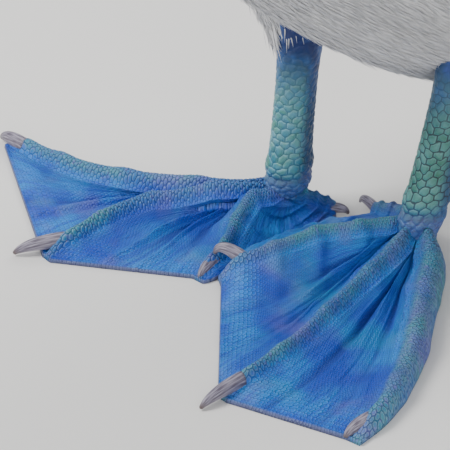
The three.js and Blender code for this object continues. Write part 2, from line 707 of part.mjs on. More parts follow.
/** One web between two toes: a thin sheet that hangs between them and sags to the floor. */
function webSolid(first, second, order, bulge) {
  const a = curveOf(first.map((p) => new THREE.Vector3(...p)));
  const b = curveOf(second.map((p) => new THREE.Vector3(...p)));
  const top = [];
  const ahead = a.getTangent(1).add(b.getTangent(1)).setZ(0).normalize();
  for (let i = 0; i <= WEB_STEPS_ALONG; i++) {
    const row = [];
    for (let k = 0; k <= WEB_STEPS_ACROSS; k++) {
      const s = k / WEB_STEPS_ACROSS;
      const bow = 1 - WEB_BOW[order] * 4 * s * (1 - s);
      const t = (0.06 + (0.95 * i) / WEB_STEPS_ALONG) * bow;
      const p = a.getPoint(Math.min(t, 1)).lerp(b.getPoint(Math.min(t, 1)), s);
      const crest = p.z;
      const hang = Math.max(Math.sin(Math.PI * s), 0);
      const ease = THREE.MathUtils.smoothstep(i / WEB_STEPS_ALONG, 0.6, 1);
      if (order < 2) p.addScaledVector(ahead, WEB_REACH * hang ** 0.4 * ease);
      if (bulge) p.x -= bulge * Math.max(Math.sin(Math.PI * s ** 0.8), 0) ** 0.8 * Math.min(t, 1) ** 1.4;
      const nearHub = Math.max(1 - t, 0) ** 1.5;
      const level = (0.42 + 0.25 * nearHub) * crest * (1 - 0.8 * hang) + 1.4 + 5 * nearHub * hang;
      const fold = 0.5 * Math.sin(s * Math.PI * 5) * hang * Math.min(1, 2 * t);
      row.push(new THREE.Vector3(p.x, p.y, Math.max(WEB_THICKNESS + 0.05, level + fold)));
    }
    top.push(row);
  }
  const under = (p) => new THREE.Vector3(p.x, p.y, p.z - WEB_THICKNESS);
  const rings = top.map((row) => [...row, ...row.map(under).reverse()]);
  return solid(loft(rings));
}

/** One claw: a curved, tapered horn that bends down to the floor. */
function clawSolid(points, tip, order) {
  const end = new THREE.Vector3(...points[points.length - 1]);
  const before = new THREE.Vector3(...points[points.length - 2]);
  const along = end.clone().sub(before).setZ(0).normalize();
  const start = new THREE.Vector3(end.x, end.y, end.z - CLAW_BASE[order] - 0.6);
  const target = new THREE.Vector3(...tip);
  const bend = start.clone().lerp(target, 0.55).add(new THREE.Vector3(0, 0, start.z * 0.42));
  const first = start.clone().addScaledVector(along, -CLAW_SINK);
  const curve = new THREE.QuadraticBezierCurve3(first, bend, target);
  const rings = [];
  for (let i = 0; i <= CLAW_STEPS; i++) {
    const t = i / CLAW_STEPS;
    const p = curve.getPoint(t);
    const ahead = curve.getTangent(t);
    const side = new THREE.Vector3(-ahead.y, ahead.x, 0).normalize();
    const up = ahead.clone().cross(side).negate().normalize();
    const radius = CLAW_BASE[order] * (1 - 0.8 * t ** 1.3);
    const ring = [];
    for (let k = 0; k < CLAW_SIDES; k++) {
      const angle = (k / CLAW_SIDES) * Math.PI * 2;
      const sideways = side.clone().multiplyScalar(Math.cos(angle) * radius * 0.8);
      ring.push(p.clone().add(sideways).addScaledVector(up, Math.sin(angle) * radius));
    }
    rings.push(ring);
  }
  return { made: solid(loft(rings)), start: end.clone().addScaledVector(along, 0.2), along };
}

/** Shin and foot of one side, parted at the ankle and at each claw. */
function buildLeg(suffix, covers) {
  const leg = LEGS[suffix];
  const ankle = new THREE.Vector3(...leg.ankle);
  const heel = new THREE.Vector3(...leg.heel);
  const rings = [];
  for (let i = 0; i <= SHIN_STEPS; i++) {
    const share = i / SHIN_STEPS;
    const p = ankle.clone().lerp(heel, SHIN_SPAN * share - SHIN_BELOW);
    const depth = blend(SHIN_DEPTHS, share);
    const width = blend(SHIN_WIDTHS, share);
    const ring = [];
    for (let k = 0; k < TARSUS_SIDES; k++) {
      const a = (k / TARSUS_SIDES) * Math.PI * 2;
      ring.push(new THREE.Vector3(p.x + Math.cos(a) * width, p.y + Math.sin(a) * depth, Math.max(p.z, 1)));
    }
    rings.push(ring);
  }
  const shin = solid(loft(rings));
  const pad = [];
  for (const [z, r] of HEEL_PAD) {
    const ring = [];
    for (let k = 0; k < 12; k++) {
      const a = (k / 12) * Math.PI * 2;
      ring.push(new THREE.Vector3(ankle.x + Math.cos(a) * r, ankle.y + Math.sin(a) * r, z));
    }
    pad.push(ring);
  }
  let foot = join([
    solid(loft(pad)),
    ...leg.toes.map((points, i) => toeSolid(points, i)),
    ...[0, 1, 2].map((i) => webSolid(leg.toes[i], leg.toes[i + 1], i, i === 2 ? leg.medialBulge : 0)),
    shin,
  ]);
  const up = heel.clone().sub(ankle).normalize();
  const joint = ankle.clone().addScaledVector(up, ANKLE_JOINT);
  const above = farBlock(joint.clone().addScaledVector(up, GAP), up, 300);
  const shinPart = largest(shin.intersect(above).subtract(covers));
  foot = foot.subtract(farBlock(joint, up, 300));
  leg.toes.forEach((points, i) => {
    const claw = clawSolid(points, leg.claws[i], i);
    foot = foot.subtract(farBlock(claw.start, claw.along, 14).intersect(claw.made.hull()));
    const cut = farBlock(claw.start.clone().addScaledVector(claw.along, GAP), claw.along, 60);
    addNode(`claw_${suffix}_${4 - i}`, largest(claw.made.intersect(cut)), MATERIALS.claw);
  });
  addNode("shin_" + suffix, shinPart, MATERIALS.leg);
  addNode("foot_" + suffix, largest(foot), MATERIALS.foot);
}

/** Feathered thigh: a drooping tuft from the body's side down to the heel. */
function thighSolid(suffix) {
  const side = suffix === "l" ? 1 : -1;
  const heel = new THREE.Vector3(...LEGS[suffix].heel);
  const hip = new THREE.Vector3(side * HIP.left, heel.y * 0.35 + HIP.back, HIP.height);
  const end = new THREE.Vector3(heel.x + side * 2, heel.y, heel.z + THIGH_END);
  const rings = [];
  for (let i = 0; i <= THIGH_STEPS; i++) {
    const t = i / THIGH_STEPS;
    const p = hip.clone().lerp(end, t);
    const radius = blend(THIGH_RADII, t);
    const ring = [];
    for (let k = 0; k < THIGH_SIDES; k++) {
      const a = (k / THIGH_SIDES) * Math.PI * 2;
      const x = p.x + Math.cos(a) * radius * THIGH_FLATNESS;
      ring.push(new THREE.Vector3(x, p.y + Math.sin(a) * radius, p.z));
    }
    rings.push(ring);
  }
  return solid(loft(rings));
}

buildHeadAndBody();
const bodyCover = bodySolid(GAP, 0, 10);
const wings = { l: buildWing(1, "l"), r: buildWing(-1, "r") };
for (const suffix of ["l", "r"]) {
  const wingBlock = wingPad(suffix === "l" ? 1 : -1, WING_FRONT, WING_REAR, 24, GAP + 0.3);
  const thigh = thighSolid(suffix).subtract(wingBlock);
  addNode("thigh_" + suffix, largest(thigh.subtract(bodyCover)), MATERIALS.whitePlumage);
  buildLeg(suffix, join([thigh, bodyCover]));
  addNode("primaries_" + suffix, largest(wings[suffix]), MATERIALS.wingPlumage);
}
addNode("tail", largest(tailForm().subtract(bodySolid(GAP, 0, 8))), MATERIALS.tailPlumage);

// The origin is the middle of the bird's box, on the floor.
const box = new THREE.Box3().setFromObject(group);
const middle = box.getCenter(new THREE.Vector3());
group.position.set(-middle.x, -middle.y, -box.min.z);

export default group;
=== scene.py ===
"""A life-size blue-footed booby, dressed in skin, horn and feathers over its measured solids."""
import logging
import math
from dataclasses import dataclass, field
from enum import Enum
from typing import Callable, Sequence

import bmesh
import bpy
import numpy as np
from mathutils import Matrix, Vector


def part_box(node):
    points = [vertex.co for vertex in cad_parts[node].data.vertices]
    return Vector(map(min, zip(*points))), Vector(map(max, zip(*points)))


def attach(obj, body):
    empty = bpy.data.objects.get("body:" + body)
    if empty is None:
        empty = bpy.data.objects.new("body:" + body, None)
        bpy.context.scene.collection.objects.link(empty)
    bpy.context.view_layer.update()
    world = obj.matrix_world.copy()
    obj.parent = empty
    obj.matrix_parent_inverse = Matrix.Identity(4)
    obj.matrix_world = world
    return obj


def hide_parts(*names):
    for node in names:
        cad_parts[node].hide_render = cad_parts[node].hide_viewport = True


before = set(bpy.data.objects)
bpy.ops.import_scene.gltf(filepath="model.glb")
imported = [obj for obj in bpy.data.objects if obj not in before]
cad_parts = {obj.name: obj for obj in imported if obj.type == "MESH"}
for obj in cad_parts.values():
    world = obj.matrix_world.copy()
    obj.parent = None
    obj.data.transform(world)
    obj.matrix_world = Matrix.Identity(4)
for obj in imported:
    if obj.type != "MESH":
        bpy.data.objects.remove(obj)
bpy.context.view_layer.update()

logging.basicConfig(level=logging.INFO, format="%(message)s")
LOG = logging.getLogger("booby")
Array = np.ndarray
Material = bpy.types.Material
Piece = bpy.types.Object
MM = 0.001

# The eye's place before the bird was centred on its box, in mm: left, back, up
EYE_HOME = np.array([17.4, -124.0, 437.0])
EYE_RADIUS = 8.2


def frame_shift() -> Array:
    """How far the bird was moved when it was centred on its box.

    Returns:
        The move in mm, read from where the left eye ended up.
    """
    low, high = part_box("eye_l")
    middle = (np.array(low) + np.array(high)) / 2.0
    return middle / MM - EYE_HOME


SHIFT = frame_shift()


def to_frame(points: Array) -> Array:
    """Turns points in mm between the ankles into metres in the shared frame.

    Args:
        points: Array of shape (n, 3) in mm.

    Returns:
        The same points in metres, moved with the bird.
    """
    return (points + SHIFT) * MM


def smooth(low: float, high: float, value: Array) -> Array:
    """Smooth step from 0 at low to 1 at high.

    Args:
        low: Where the step starts.
        high: Where it ends.
        value: Numbers to step.

    Returns:
        Numbers from 0 to 1.
    """
    t = np.clip((value - low) / (high - low), 0.0, 1.0)
    return t * t * (3.0 - 2.0 * t)


def between(first: Array | float, second: Array | float, share: Array | float) -> Array | float:
    """Values at a share of the way from one to another.

    Args:
        first: Value at a share of 0.
        second: Value at a share of 1.
        share: Share of the way.

    Returns:
        The values there.
    """
    return first + (second - first) * share


def bell(value: Array, middle: Array | float, spread: float) -> Array:
    """Bell-shaped hump.

    Args:
        value: Numbers to look up.
        middle: Where it is 1.
        spread: How far off it falls to about a third.

    Returns:
        Numbers from 0 to 1.
    """
    return np.exp(-(((value - middle) / spread) ** 2))


def blend(values: Sequence[float], share: Array) -> Array:
    """Eased value of evenly spaced numbers at a share of their length.

    Args:
        values: Evenly spaced numbers.
        share: Shares from 0 to 1.

    Returns:
        Interpolated numbers.
    """
    table = np.asarray(values, dtype=float)
    last = len(table) - 1
    at = np.clip(share, 0.0, 1.0) * last
    low = np.minimum(np.floor(at).astype(int), last - 1)
    t = at - low
    p = table[np.maximum(low - 1, 0)]
    a = table[low]
    b = table[low + 1]
    q = table[np.minimum(low + 2, last)]
    return a + 0.5 * t * (b - p + t * (2 * p - 5 * a + 4 * b - q + t * (3 * (a - b) + q - p)))


# Octaves of the noise, waves in each, how much weaker each octave is, and the widest start in radians
WAVE_OCTAVES = 3
WAVES_EACH = 4
WAVE_FALL = 1.6
WAVE_START = 6.28


def wave_noise(place: Sequence[Array], seed: int, scale: float) -> Array:
    """Cheap smooth noise made of crossing waves.

    Args:
        place: First, second and third coordinates.
        seed: Chooses the waves.
        scale: Size of the largest patches.

    Returns:
        Numbers from about -1 to 1.
    """
    x, y, z = place
    rng = np.random.default_rng(seed)
    total = np.zeros_like(x, dtype=float)
    for octave in range(WAVE_OCTAVES):
        for _ in range(WAVES_EACH):
            way = rng.normal(size=3)
            way *= 2.0 ** octave * 2.0 * math.pi / scale / np.linalg.norm(way)
            wave = np.sin(way[0] * x + way[1] * y + way[2] * z + rng.uniform(0, WAVE_START))
            total += wave / (WAVES_EACH * WAVE_FALL ** octave)
    return total


def unit(vectors: Array) -> Array:
    """Vectors of length one.

    Args:
        vectors: Array whose last axis holds the components.

    Returns:
        The same directions with unit length.
    """
    length = np.linalg.norm(vectors, axis=-1, keepdims=True)
    return vectors / np.maximum(length, 1e-9)


# Cells of the scaled skin
# Height of two rows of six-sided cells that are 1 wide
HEX_STEP = 1.7320508


def cell_middle(x: Array, y: Array) -> Array:
    """Distance from the middle of the nearest cell in every second row.

    Args:
        x: Lattice coordinate across.
        y: Lattice coordinate along.

    Returns:
        0 in the middle and 0.5 at the cell's edge.
    """
    hx = np.abs(x - (np.floor(x) + 0.5))
    hy = np.abs(y - (np.floor(y / HEX_STEP) + 0.5) * HEX_STEP)
    return np.maximum(hx * 0.5 + hy * HEX_STEP * 0.5, hx)


def cell_edge(a: Array, b: Array) -> Array:
    """Distance to the edge of six-sided cells in a lattice.

    Args:
        a: Lattice coordinate across.
        b: Lattice coordinate along.

    Returns:
        0 at a groove and 0.5 in the middle of a cell.
    """
    return 0.5 - np.minimum(cell_middle(a, b), cell_middle(a - 0.5, b - HEX_STEP / 2))


# Mesh making
# How near to 0 or 1 a share counts as the end of a sheet
EDGE_GAP = 1e-6


class Sheet:
    """A grid of quads whose points are placed by a function of its two shares."""

    def __init__(self, columns: int, rows: int) -> None:
        """Makes the flat grid.

        Args:
            columns: Faces across.
            rows: Faces along.
        """
        bm = bmesh.new()
        bmesh.ops.create_grid(bm, x_segments=columns, y_segments=rows, size=0.5)
        self.mesh = bpy.data.meshes.new("sheet")
        bm.to_mesh(self.mesh)
        bm.free()
        count = len(self.mesh.vertices)
        flat = np.empty(count * 3)
        self.mesh.vertices.foreach_get("co", flat)
        flat = flat.reshape(-1, 3) + 0.5
        self.u = flat[:, 0]
        self.v = flat[:, 1]
        loops = np.empty(len(self.mesh.loops), dtype=np.int64)
        self.mesh.loops.foreach_get("vertex_index", loops)
        self.loops = loops

    def place(self, points: Array) -> None:
        """Moves the grid's points.

        Args:
            points: New places in mm, one row for each point.
        """
        self.points = points
        self.mesh.vertices.foreach_set("co", to_frame(points).astype(np.float32).ravel())
        self.mesh.update()

    def at_ends(self) -> Array:
        """Finds the points of the first and the last row.

        Returns:
            True for each point of those rows.
        """
        return (self.v < EDGE_GAP) | (self.v > 1 - EDGE_GAP)

    def close_ends(self, points: Array) -> None:
        """Draws each end of a tube together in one point.

        Args:
            points: Places in mm, changed as they stand.
        """
        for end in (self.v < EDGE_GAP, self.v > 1 - EDGE_GAP):
            points[end] = points[end].mean(axis=0)

    def bare_vane(self) -> None:
        """Writes a Vane map with neither shaft nor barbs, for skin under feathers."""
        self.uv("Vane", self.u * 0 + 0.5, self.v * 0)

    def plain_coat(self, colour: Array) -> None:
        """Gives skin under feathers one colour.

        Args:
            colour: The colour.
        """
        self.tint("Coat", [np.full(len(self.u), part) for part in colour])
        self.bare_vane()

    def normals(self) -> Array:
        """Normals of the points, after they are placed.

        Returns:
            Unit vectors, one row for each point.
        """
        out = np.empty(len(self.mesh.vertices) * 3, dtype=np.float32)
        self.mesh.vertex_normals.foreach_get("vector", out)
        return out.reshape(-1, 3).astype(float)

    def uv(self, name: str, a: Array, b: Array) -> None:
        """Writes a UV map from numbers held at the points.

        Args:
            name: Name of the map.
            a: First coordinate.
            b: Second coordinate.
        """
        layer = self.mesh.uv_layers.new(name=name)
        values = np.stack([a[self.loops], b[self.loops]], axis=1)
        layer.data.foreach_set("uv", values.astype(np.float32).ravel())

    def tint(self, name: str, channels: Sequence[Array]) -> None:
        """Writes a colour attribute on the points.

        Args:
            name: Name of the attribute.
            channels: Four arrays.
        """
        layer = self.mesh.attributes.new(name, "FLOAT_COLOR", "POINT")
        values = np.stack([np.broadcast_to(c, self.u.shape) for c in channels], axis=1)
        layer.data.foreach_set("color", values.astype(np.float32).ravel())

    def finish(self, name: str, material: Material, distance: float = 1e-6) -> Piece:
        """Joins points that lie on each other, turns the faces outwards and makes the object.

        Args:
            name: Name of the piece.
            material: Its finish.
            distance: How near counts as joined, in metres.

        Returns:
            The object.
        """
        bm = bmesh.new()
        bm.from_mesh(self.mesh)
        bmesh.ops.remove_doubles(bm, verts=bm.verts, dist=distance)
        bmesh.ops.dissolve_degenerate(bm, dist=distance / 4, edges=bm.edges)
        bmesh.ops.recalc_face_normals(bm, faces=bm.faces)
        bm.to_mesh(self.mesh)
        bm.free()
        return make_object(name, self.mesh, material)


def tube_skin(
    name: str,
    shape: Callable[..., Array],
    grid: tuple[int, int],
    grow: float,
    colour: Array,
    material: Material,
) -> Piece:
    """Makes the closed skin of a tapering form that lies under feathers.

    Args:
        name: Name of the piece.
        shape: Gives points of the form by share, turn and distance outwards.
        grid: Faces round and along.
        grow: Distance outwards in mm.
        colour: Its colour.
        material: Its finish.

    Returns:
        The piece.
    """
    sheet = Sheet(*grid)
    points = shape(sheet.v, sheet.u, grow)
    sheet.close_ends(points)
    sheet.place(points)
    sheet.plain_coat(colour)
    return sheet.finish(name, material)


def make_object(name: str, mesh: bpy.types.Mesh, material: Material) -> Piece:
    """Links a mesh as a smooth-shaded piece that rides on the bird.

    Args:
        name: Name of the piece.
        mesh: Its mesh, in the shared frame.
        material: Its finish.

    Returns:
        The linked object.
    """
    mesh.name = name
    mesh.materials.append(material)
    mesh.shade_smooth()
    piece = bpy.data.objects.new(name, mesh)
    bpy.context.scene.collection.objects.link(piece)
    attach(piece, "root")
    LOG.info("%s: %d faces", piece.name, len(piece.data.polygons))
    return piece


# Shader building
def joined_by(kind: str, swapped: bool = False) -> Callable[["Socket", object], "Socket"]:
    """Makes a method that joins a shader value and another one by a Math node.

    Args:
        kind: The node's operation.
        swapped: True where the other value comes first.

    Returns:
        The method.
    """
    def method(value: "Socket", other: object) -> "Socket":
        """Joins the two values.

        Args:
            value: The shader value.
            other: A number or a shader value.

        Returns:
            The result.
        """
        pair = (other, value) if swapped else (value, other)
        return value.tree.math(kind, *pair)

    return method


class Socket:
    """A shader value that can be used in sums."""

    def __init__(self, tree: "Shader", link: object) -> None:
        """Wraps an output socket or a number.

        Args:
            tree: The shader that it belongs to.
            link: A Blender socket or a number.
        """
        self.tree = tree
        self.link = link

    __add__ = joined_by("ADD")
    __radd__ = joined_by("ADD", swapped=True)
    __sub__ = joined_by("SUBTRACT")
    __rsub__ = joined_by("SUBTRACT", swapped=True)
    __mul__ = joined_by("MULTIPLY")
    __rmul__ = joined_by("MULTIPLY", swapped=True)
    __truediv__ = joined_by("DIVIDE")
    maximum = joined_by("MAXIMUM")
    minimum = joined_by("MINIMUM")

    def floor(self) -> "Socket":
        """Rounds the value down.

        Returns:
            The whole number below it.
        """
        return self.tree.math("FLOOR", self)

    def abs(self) -> "Socket":
        """Drops the value's sign.

        Returns:
            Its size.
        """
        return self.tree.math("ABSOLUTE", self)

    def step(self, low: float, high: float) -> "Socket":
        """Smooth step from 0 at low to 1 at high.

        Args:
            low: Where the step starts.
            high: Where it ends.

        Returns:
            Numbers from 0 to 1.
        """
        node = self.tree.node(
            "ShaderNodeMapRange",
            {"interpolation_type": "SMOOTHSTEP"},
            {"Value": self, "From Min": low, "From Max": high},
        )
        return Socket(self.tree, node.outputs["Result"])


# Places of the colour sockets on a Mix node
MIX_SHARE = 0
MIX_FIRST = 6
MIX_SECOND = 7
MIX_RESULT = 2


class Shader:
    """A material's node tree, built node by node."""

    def __init__(self, name: str) -> None:
        """Makes an empty material.

        Args:
            name: The material's name.
        """
        self.material = bpy.data.materials.new(name)
        self.material.use_nodes = True
        self.nodes = self.material.node_tree.nodes
        self.nodes.clear()
        self.output = self.nodes.new("ShaderNodeOutputMaterial")

    def node(self, kind: str, settings: dict, inputs: dict) -> bpy.types.Node:
        """Adds a node.

        Args:
            kind: Blender's node type.
            settings: Properties to set.
            inputs: Input sockets by name or number, as values or sockets.

        Returns:
            The node.
        """
        made = self.nodes.new(kind)
        for key, value in settings.items():
            setattr(made, key, value)
        for key, value in inputs.items():
            target = made.inputs[key]
            link = value.link if isinstance(value, Socket) else value
            if isinstance(link, bpy.types.NodeSocket):
                self.material.node_tree.links.new(link, target)
            else:
                target.default_value = link
        return made

    def math(self, kind: str, *values: object) -> Socket:
        """Adds a Math node.

        Args:
            kind: Its operation.
            values: Its inputs.

        Returns:
            Its result.
        """
        made = self.node("ShaderNodeMath", {"operation": kind}, dict(enumerate(values)))
        return Socket(self, made.outputs[0])

    def uv(self, name: str) -> tuple[Socket, Socket]:
        """Reads a UV map.

        Args:
            name: The map's name.

        Returns:
            Its two coordinates.
        """
        made = self.node("ShaderNodeUVMap", {"uv_map": name}, {})
        parts = self.node("ShaderNodeSeparateXYZ", {}, {"Vector": Socket(self, made.outputs["UV"])})
        return Socket(self, parts.outputs["X"]), Socket(self, parts.outputs["Y"])

    def attribute(self, name: str) -> tuple[Socket, Socket, Socket, Socket]:
        """Reads a colour attribute as numbers.

        Args:
            name: The attribute's name.

        Returns:
            Red, green, blue and alpha.
        """
        made = self.node("ShaderNodeAttribute", {"attribute_name": name}, {})
        parts = self.node("ShaderNodeSeparateColor", {}, {"Color": Socket(self, made.outputs["Color"])})
        return (*(Socket(self, parts.outputs[i]) for i in range(3)), Socket(self, made.outputs["Alpha"]))

    def vector(self, x: object, y: object, z: object = 0.0) -> Socket:
        """Makes a vector of three values.

        Args:
            x: First part.
            y: Second part.
            z: Third part.

        Returns:
            The vector.
        """
        made = self.node("ShaderNodeCombineXYZ", {}, {0: x, 1: y, 2: z})
        return Socket(self, made.outputs[0])

    def noise(self, scale: float, detail: float = 3.0, vector: Socket | None = None) -> Socket:
        """Adds noise in the bird's own coordinates.

        Args:
            scale: Patches per metre, or per unit of the vector.
            detail: Octaves.
            vector: Coordinates, or none for the object's.

        Returns:
            Numbers about 0.5.
        """
        if vector is None:
            vector = Socket(self, self.node("ShaderNodeTexCoord", {}, {}).outputs["Object"])
        made = self.node("ShaderNodeTexNoise", {}, {"Vector": vector, "Scale": scale, "Detail": detail})
        return Socket(self, made.outputs["Fac"])

    def mix(self, share: object, first: object, second: object, kind: str = "MIX") -> Socket:
        """Mixes two colours.

        Args:
            share: How much of the second.
            first: A colour or a socket.
            second: A colour or a socket.
            kind: How they mix.

        Returns:
            The mixed colour.
        """
        inputs = {MIX_SHARE: share, MIX_FIRST: first, MIX_SECOND: second}
        made = self.node("ShaderNodeMix", {"data_type": "RGBA", "blend_type": kind}, inputs)
        return Socket(self, made.outputs[MIX_RESULT])

    def bump(self, height: Socket, strength: float, distance: float) -> Socket:
        """Turns a height into a normal.

        Args:
            height: The height.
            strength: Strength of the effect.
            distance: Height of 1, in metres.

        Returns:
            The normal.
        """
        inputs = {"Height": height, "Strength": strength, "Distance": distance}
        return Socket(self, self.node("ShaderNodeBump", {}, inputs).outputs["Normal"])

    def cell_middle(self, x: Socket, y: Socket) -> Socket:
        """Distance from the middle of a cell, as the function of that name gives it.

        Args:
            x: Lattice coordinate across.
            y: Lattice coordinate along.

        Returns:
            0 in the middle and 0.5 at the cell's edge.
        """
        hx = (x - (x.floor() + 0.5)).abs()
        hy = (y - ((y / HEX_STEP).floor() + 0.5) * HEX_STEP).abs()
        return (hx * 0.5 + hy * (HEX_STEP * 0.5)).maximum(hx)

    def cells(self, a: Socket, b: Socket) -> Socket:
        """Distance to the edge of six-sided cells, as cell_edge gives it.

        Args:
            a: Lattice coordinate across.
            b: Lattice coordinate along.

        Returns:
            0 at a groove and 0.5 in the middle of a cell.
        """
        return 0.5 - self.cell_middle(a, b).minimum(self.cell_middle(a - 0.5, b - HEX_STEP / 2))

    def surface(self, inputs: dict) -> Material:
        """Ends the tree in a principled surface.

        Args:
            inputs: The surface's inputs.

        Returns:
            The finished material.
        """
        made = self.node("ShaderNodeBsdfPrincipled", {}, inputs)
        self.material.node_tree.links.new(made.outputs[0], self.output.inputs["Surface"])
        return self.material


Colour = tuple[float, float, float, float]


def rgb(*display: float) -> Colour:
    """A colour from display values, by the usual sRGB curve.

    Args:
        display: Red, green and blue, each from 0 to 255.

    Returns:
        The linear colour.
    """
    shares = [value / 255.0 for value in display]
    return (*(c / 12.92 if c <= 0.04045 else ((c + 0.055) / 1.055) ** 2.4 for c in shares), 1.0)


@dataclass(frozen=True)
class FootFinish:
    """Blue skin of the toes and webs."""

    web_deep: Colour = rgb(0, 64, 190)
    web_bright: Colour = rgb(0, 130, 222)
    web_pale: Colour = rgb(104, 156, 228)
    # Colour of the shade painted into the valleys of the web's folds and the grooves of its fine ray
    # wrinkles
    fold_shade: Colour = rgb(16, 50, 150)
    toe: Colour = rgb(38, 104, 172)
    toe_green: Colour = rgb(62, 140, 158)
    lilac: Colour = rgb(104, 96, 186)
    groove: Colour = rgb(14, 36, 92)
    rim: Colour = rgb(176, 204, 228)
    edge: Colour = rgb(92, 96, 136)
    turquoise: Colour = rgb(30, 150, 196)
    # Colour of the shade painted into the wrinkles of the skin near the ankle
    crease_shade: Colour = rgb(62, 52, 84)

    def build(self) -> Material:
        """Makes the material.

        Returns:
            The material.
        """
        s = Shader("foot_skin")
        a, b = s.uv("Cells")
        toe, along, shade, pale = s.attribute("Zone")
        edge = s.cells(a, b)
        cell_noise = s.noise(0.9, 2.0, s.vector(a, b))
        broad = s.noise(55.0, 3.0)
        fine = s.noise(420.0, 3.0)
        web = s.mix(broad.step(0.36, 0.66), self.web_deep, self.web_bright)
        web = s.mix((pale + (fine - 0.5) * 0.35).step(0.35, 1.1) * 0.34, web, self.web_pale)
        ray = s.noise(1.0, 3.0, s.vector(a * 0.8, b * 0.04))
        web = s.mix(ray.step(0.5, 0.62) * 0.6, web, self.web_deep)
        # Painted shade: thin dark lines in the grooves between the fine ridges that run along the rays
        web = s.mix((1.0 - (ray - 0.44).abs().step(0.0, 0.035)) * 0.6, web, self.fold_shade)
        # Painted shade: darker blue in the valleys of the web's folds, from the third channel of Zone
        web = s.mix((1.0 - shade).step(0.5, 0.95) * 0.8, web, self.fold_shade)
        violet = s.noise(75.0, 4.0)
        web = s.mix(violet.step(0.52, 0.72) * 0.5, web, self.lilac)
        web = s.mix(s.noise(38.0, 3.0).step(0.54, 0.7) * 0.5, web, self.turquoise)
        web = s.mix(along.step(0.99, 0.998), web, self.edge)
        skin = s.mix(broad.step(0.42, 0.62), self.toe, self.toe_green)
        skin = s.mix(cell_noise.step(0.55, 0.68) * 0.6, skin, self.lilac)
        skin = s.mix(violet.step(0.46, 0.66) * 0.6, skin, self.lilac)
        colour = s.mix(toe, web, skin)
        rim = edge.step(0.05, 0.14) * (1.0 - edge.step(0.14, 0.3))
        colour = s.mix(rim * (0.14 + toe * 0.16), colour, self.rim)
        groove = 1.0 - edge.step(0.015, 0.12)
        colour = s.mix(groove * (0.4 + toe * 0.08), colour, self.groove)
        # Painted shade: dark lines in the wrinkles of the skin near the ankle
        hub = 1.0 - along.step(0.04, 0.2)
        line = hub * (1.0 - (s.noise(1.0, 3.0, s.vector(a * 0.35, b * 0.8)) - 0.5).abs().step(0.0, 0.03))
        colour = s.mix(line * 0.75, colour, self.crease_shade)
        height = edge.step(0.0, 0.22) * (0.5 + toe * 0.5) + (fine - 0.5) * 0.5
        height = height + (ray - 0.5) * (1.0 - toe) * 2.5
        return s.surface({
            "Base Color": colour, "Roughness": 0.5, "Specular IOR Level": 0.3, "Coat Weight": 0.03,
            "Coat Roughness": 0.35, "Normal": s.bump(height, 0.9, 0.0004),
        })


@dataclass(frozen=True)
class LegFinish:
    """Scaled skin of a bare leg."""

    name: str
    scale: Colour
    scale_other: Colour
    groove: Colour
    rim: Colour
    # Colour of the shade painted down one side of the leg; it is also mixed at random into the smooth top
    side: Colour
    top: Colour
    groove_share: float
    groove_width: float
    ankle: Colour = rgb(86, 112, 186)
    # Colour of the shade painted into the wrinkles and the fold at the ankle
    crease_shade: Colour = rgb(70, 54, 74)

    def build(self) -> Material:
        """Makes the material.

        Returns:
            The material.
        """
        s = Shader(self.name)
        a, b = s.uv("Cells")
        side, ankle, shade, smooth_skin = s.attribute("Zone")
        edge = s.cells(a, b)
        per_cell = s.noise(0.8, 2.0, s.vector(a, b))
        fine = s.noise(500.0, 3.0)
        broad = s.noise(120.0, 3.0)
        colour = s.mix(per_cell.step(0.4, 0.62), self.scale, self.scale_other)
        colour = s.mix(broad.step(0.35, 0.7) * 0.35, colour, self.rim)
        rim = edge.step(0.05, 0.1) * (1.0 - edge.step(0.1, 0.2))
        colour = s.mix(rim * 0.35 * (1.0 - smooth_skin), colour, self.rim)
        # Painted shade: the leg darker down one side, from the first channel of Zone
        colour = s.mix(side * 0.85, colour, self.side)
        top = s.mix(broad.step(0.4, 0.6), self.top, self.side)
        colour = s.mix(smooth_skin, colour, top)
        groove = (1.0 - edge.step(0.02, self.groove_width)) * (1.0 - smooth_skin * 0.85)
        colour = s.mix(groove * self.groove_share, colour, self.groove)
        low = s.mix(broad.step(0.42, 0.6), self.ankle, rgb(46, 118, 184))
        colour = s.mix(ankle * 0.8, colour, low)
        # Painted shade: dark lines in the wrinkles at the ankle, which the bump also sinks
        wrinkle = s.noise(1.0, 3.0, s.vector(a * 0.8, b * 3.2))
        line = ankle * (1.0 - (wrinkle - 0.5).abs().step(0.0, 0.035))
        colour = s.mix(line * 0.6, colour, self.crease_shade)
        # Painted shade in the fold just over the ankle, from the third channel of Zone
        colour = s.mix(shade * 0.5, colour, self.crease_shade)
        height = edge.step(0.0, 0.2) * (1.0 - smooth_skin * 0.8) + (fine - 0.5) * 0.4 - line * 0.5
        return s.surface({
            "Base Color": colour, "Roughness": 0.5, "Coat Weight": 0.05, "Coat Roughness": 0.4,
            "Normal": s.bump(height, 0.6, 0.0003),
        })


@dataclass(frozen=True)
class HornFinish:
    """Horn of claws and bill, streaked along its length."""

    name: str
    dark: Colour
    pale: Colour
    tip: Colour
    gloss: float = 0.4

    def build(self) -> Material:
        """Makes the material.

        Returns:
            The material.
        """
        s = Shader(self.name)
        a, b = s.uv("Along")
        streak = s.noise(1.0, 3.0, s.vector(a * 26.0, b * 3.0))
        fine = s.noise(1.0, 2.0, s.vector(a * 70.0, b * 9.0))
        colour = s.mix(streak.step(0.35, 0.7), self.dark, self.pale)
        colour = s.mix(b.step(0.72, 1.0), colour, self.tip)
        height = streak * 0.6 + fine * 0.4
        normal = s.bump(height, 0.35, 0.0004)
        return s.surface({"Base Color": colour, "Roughness": self.gloss, "Normal": normal})


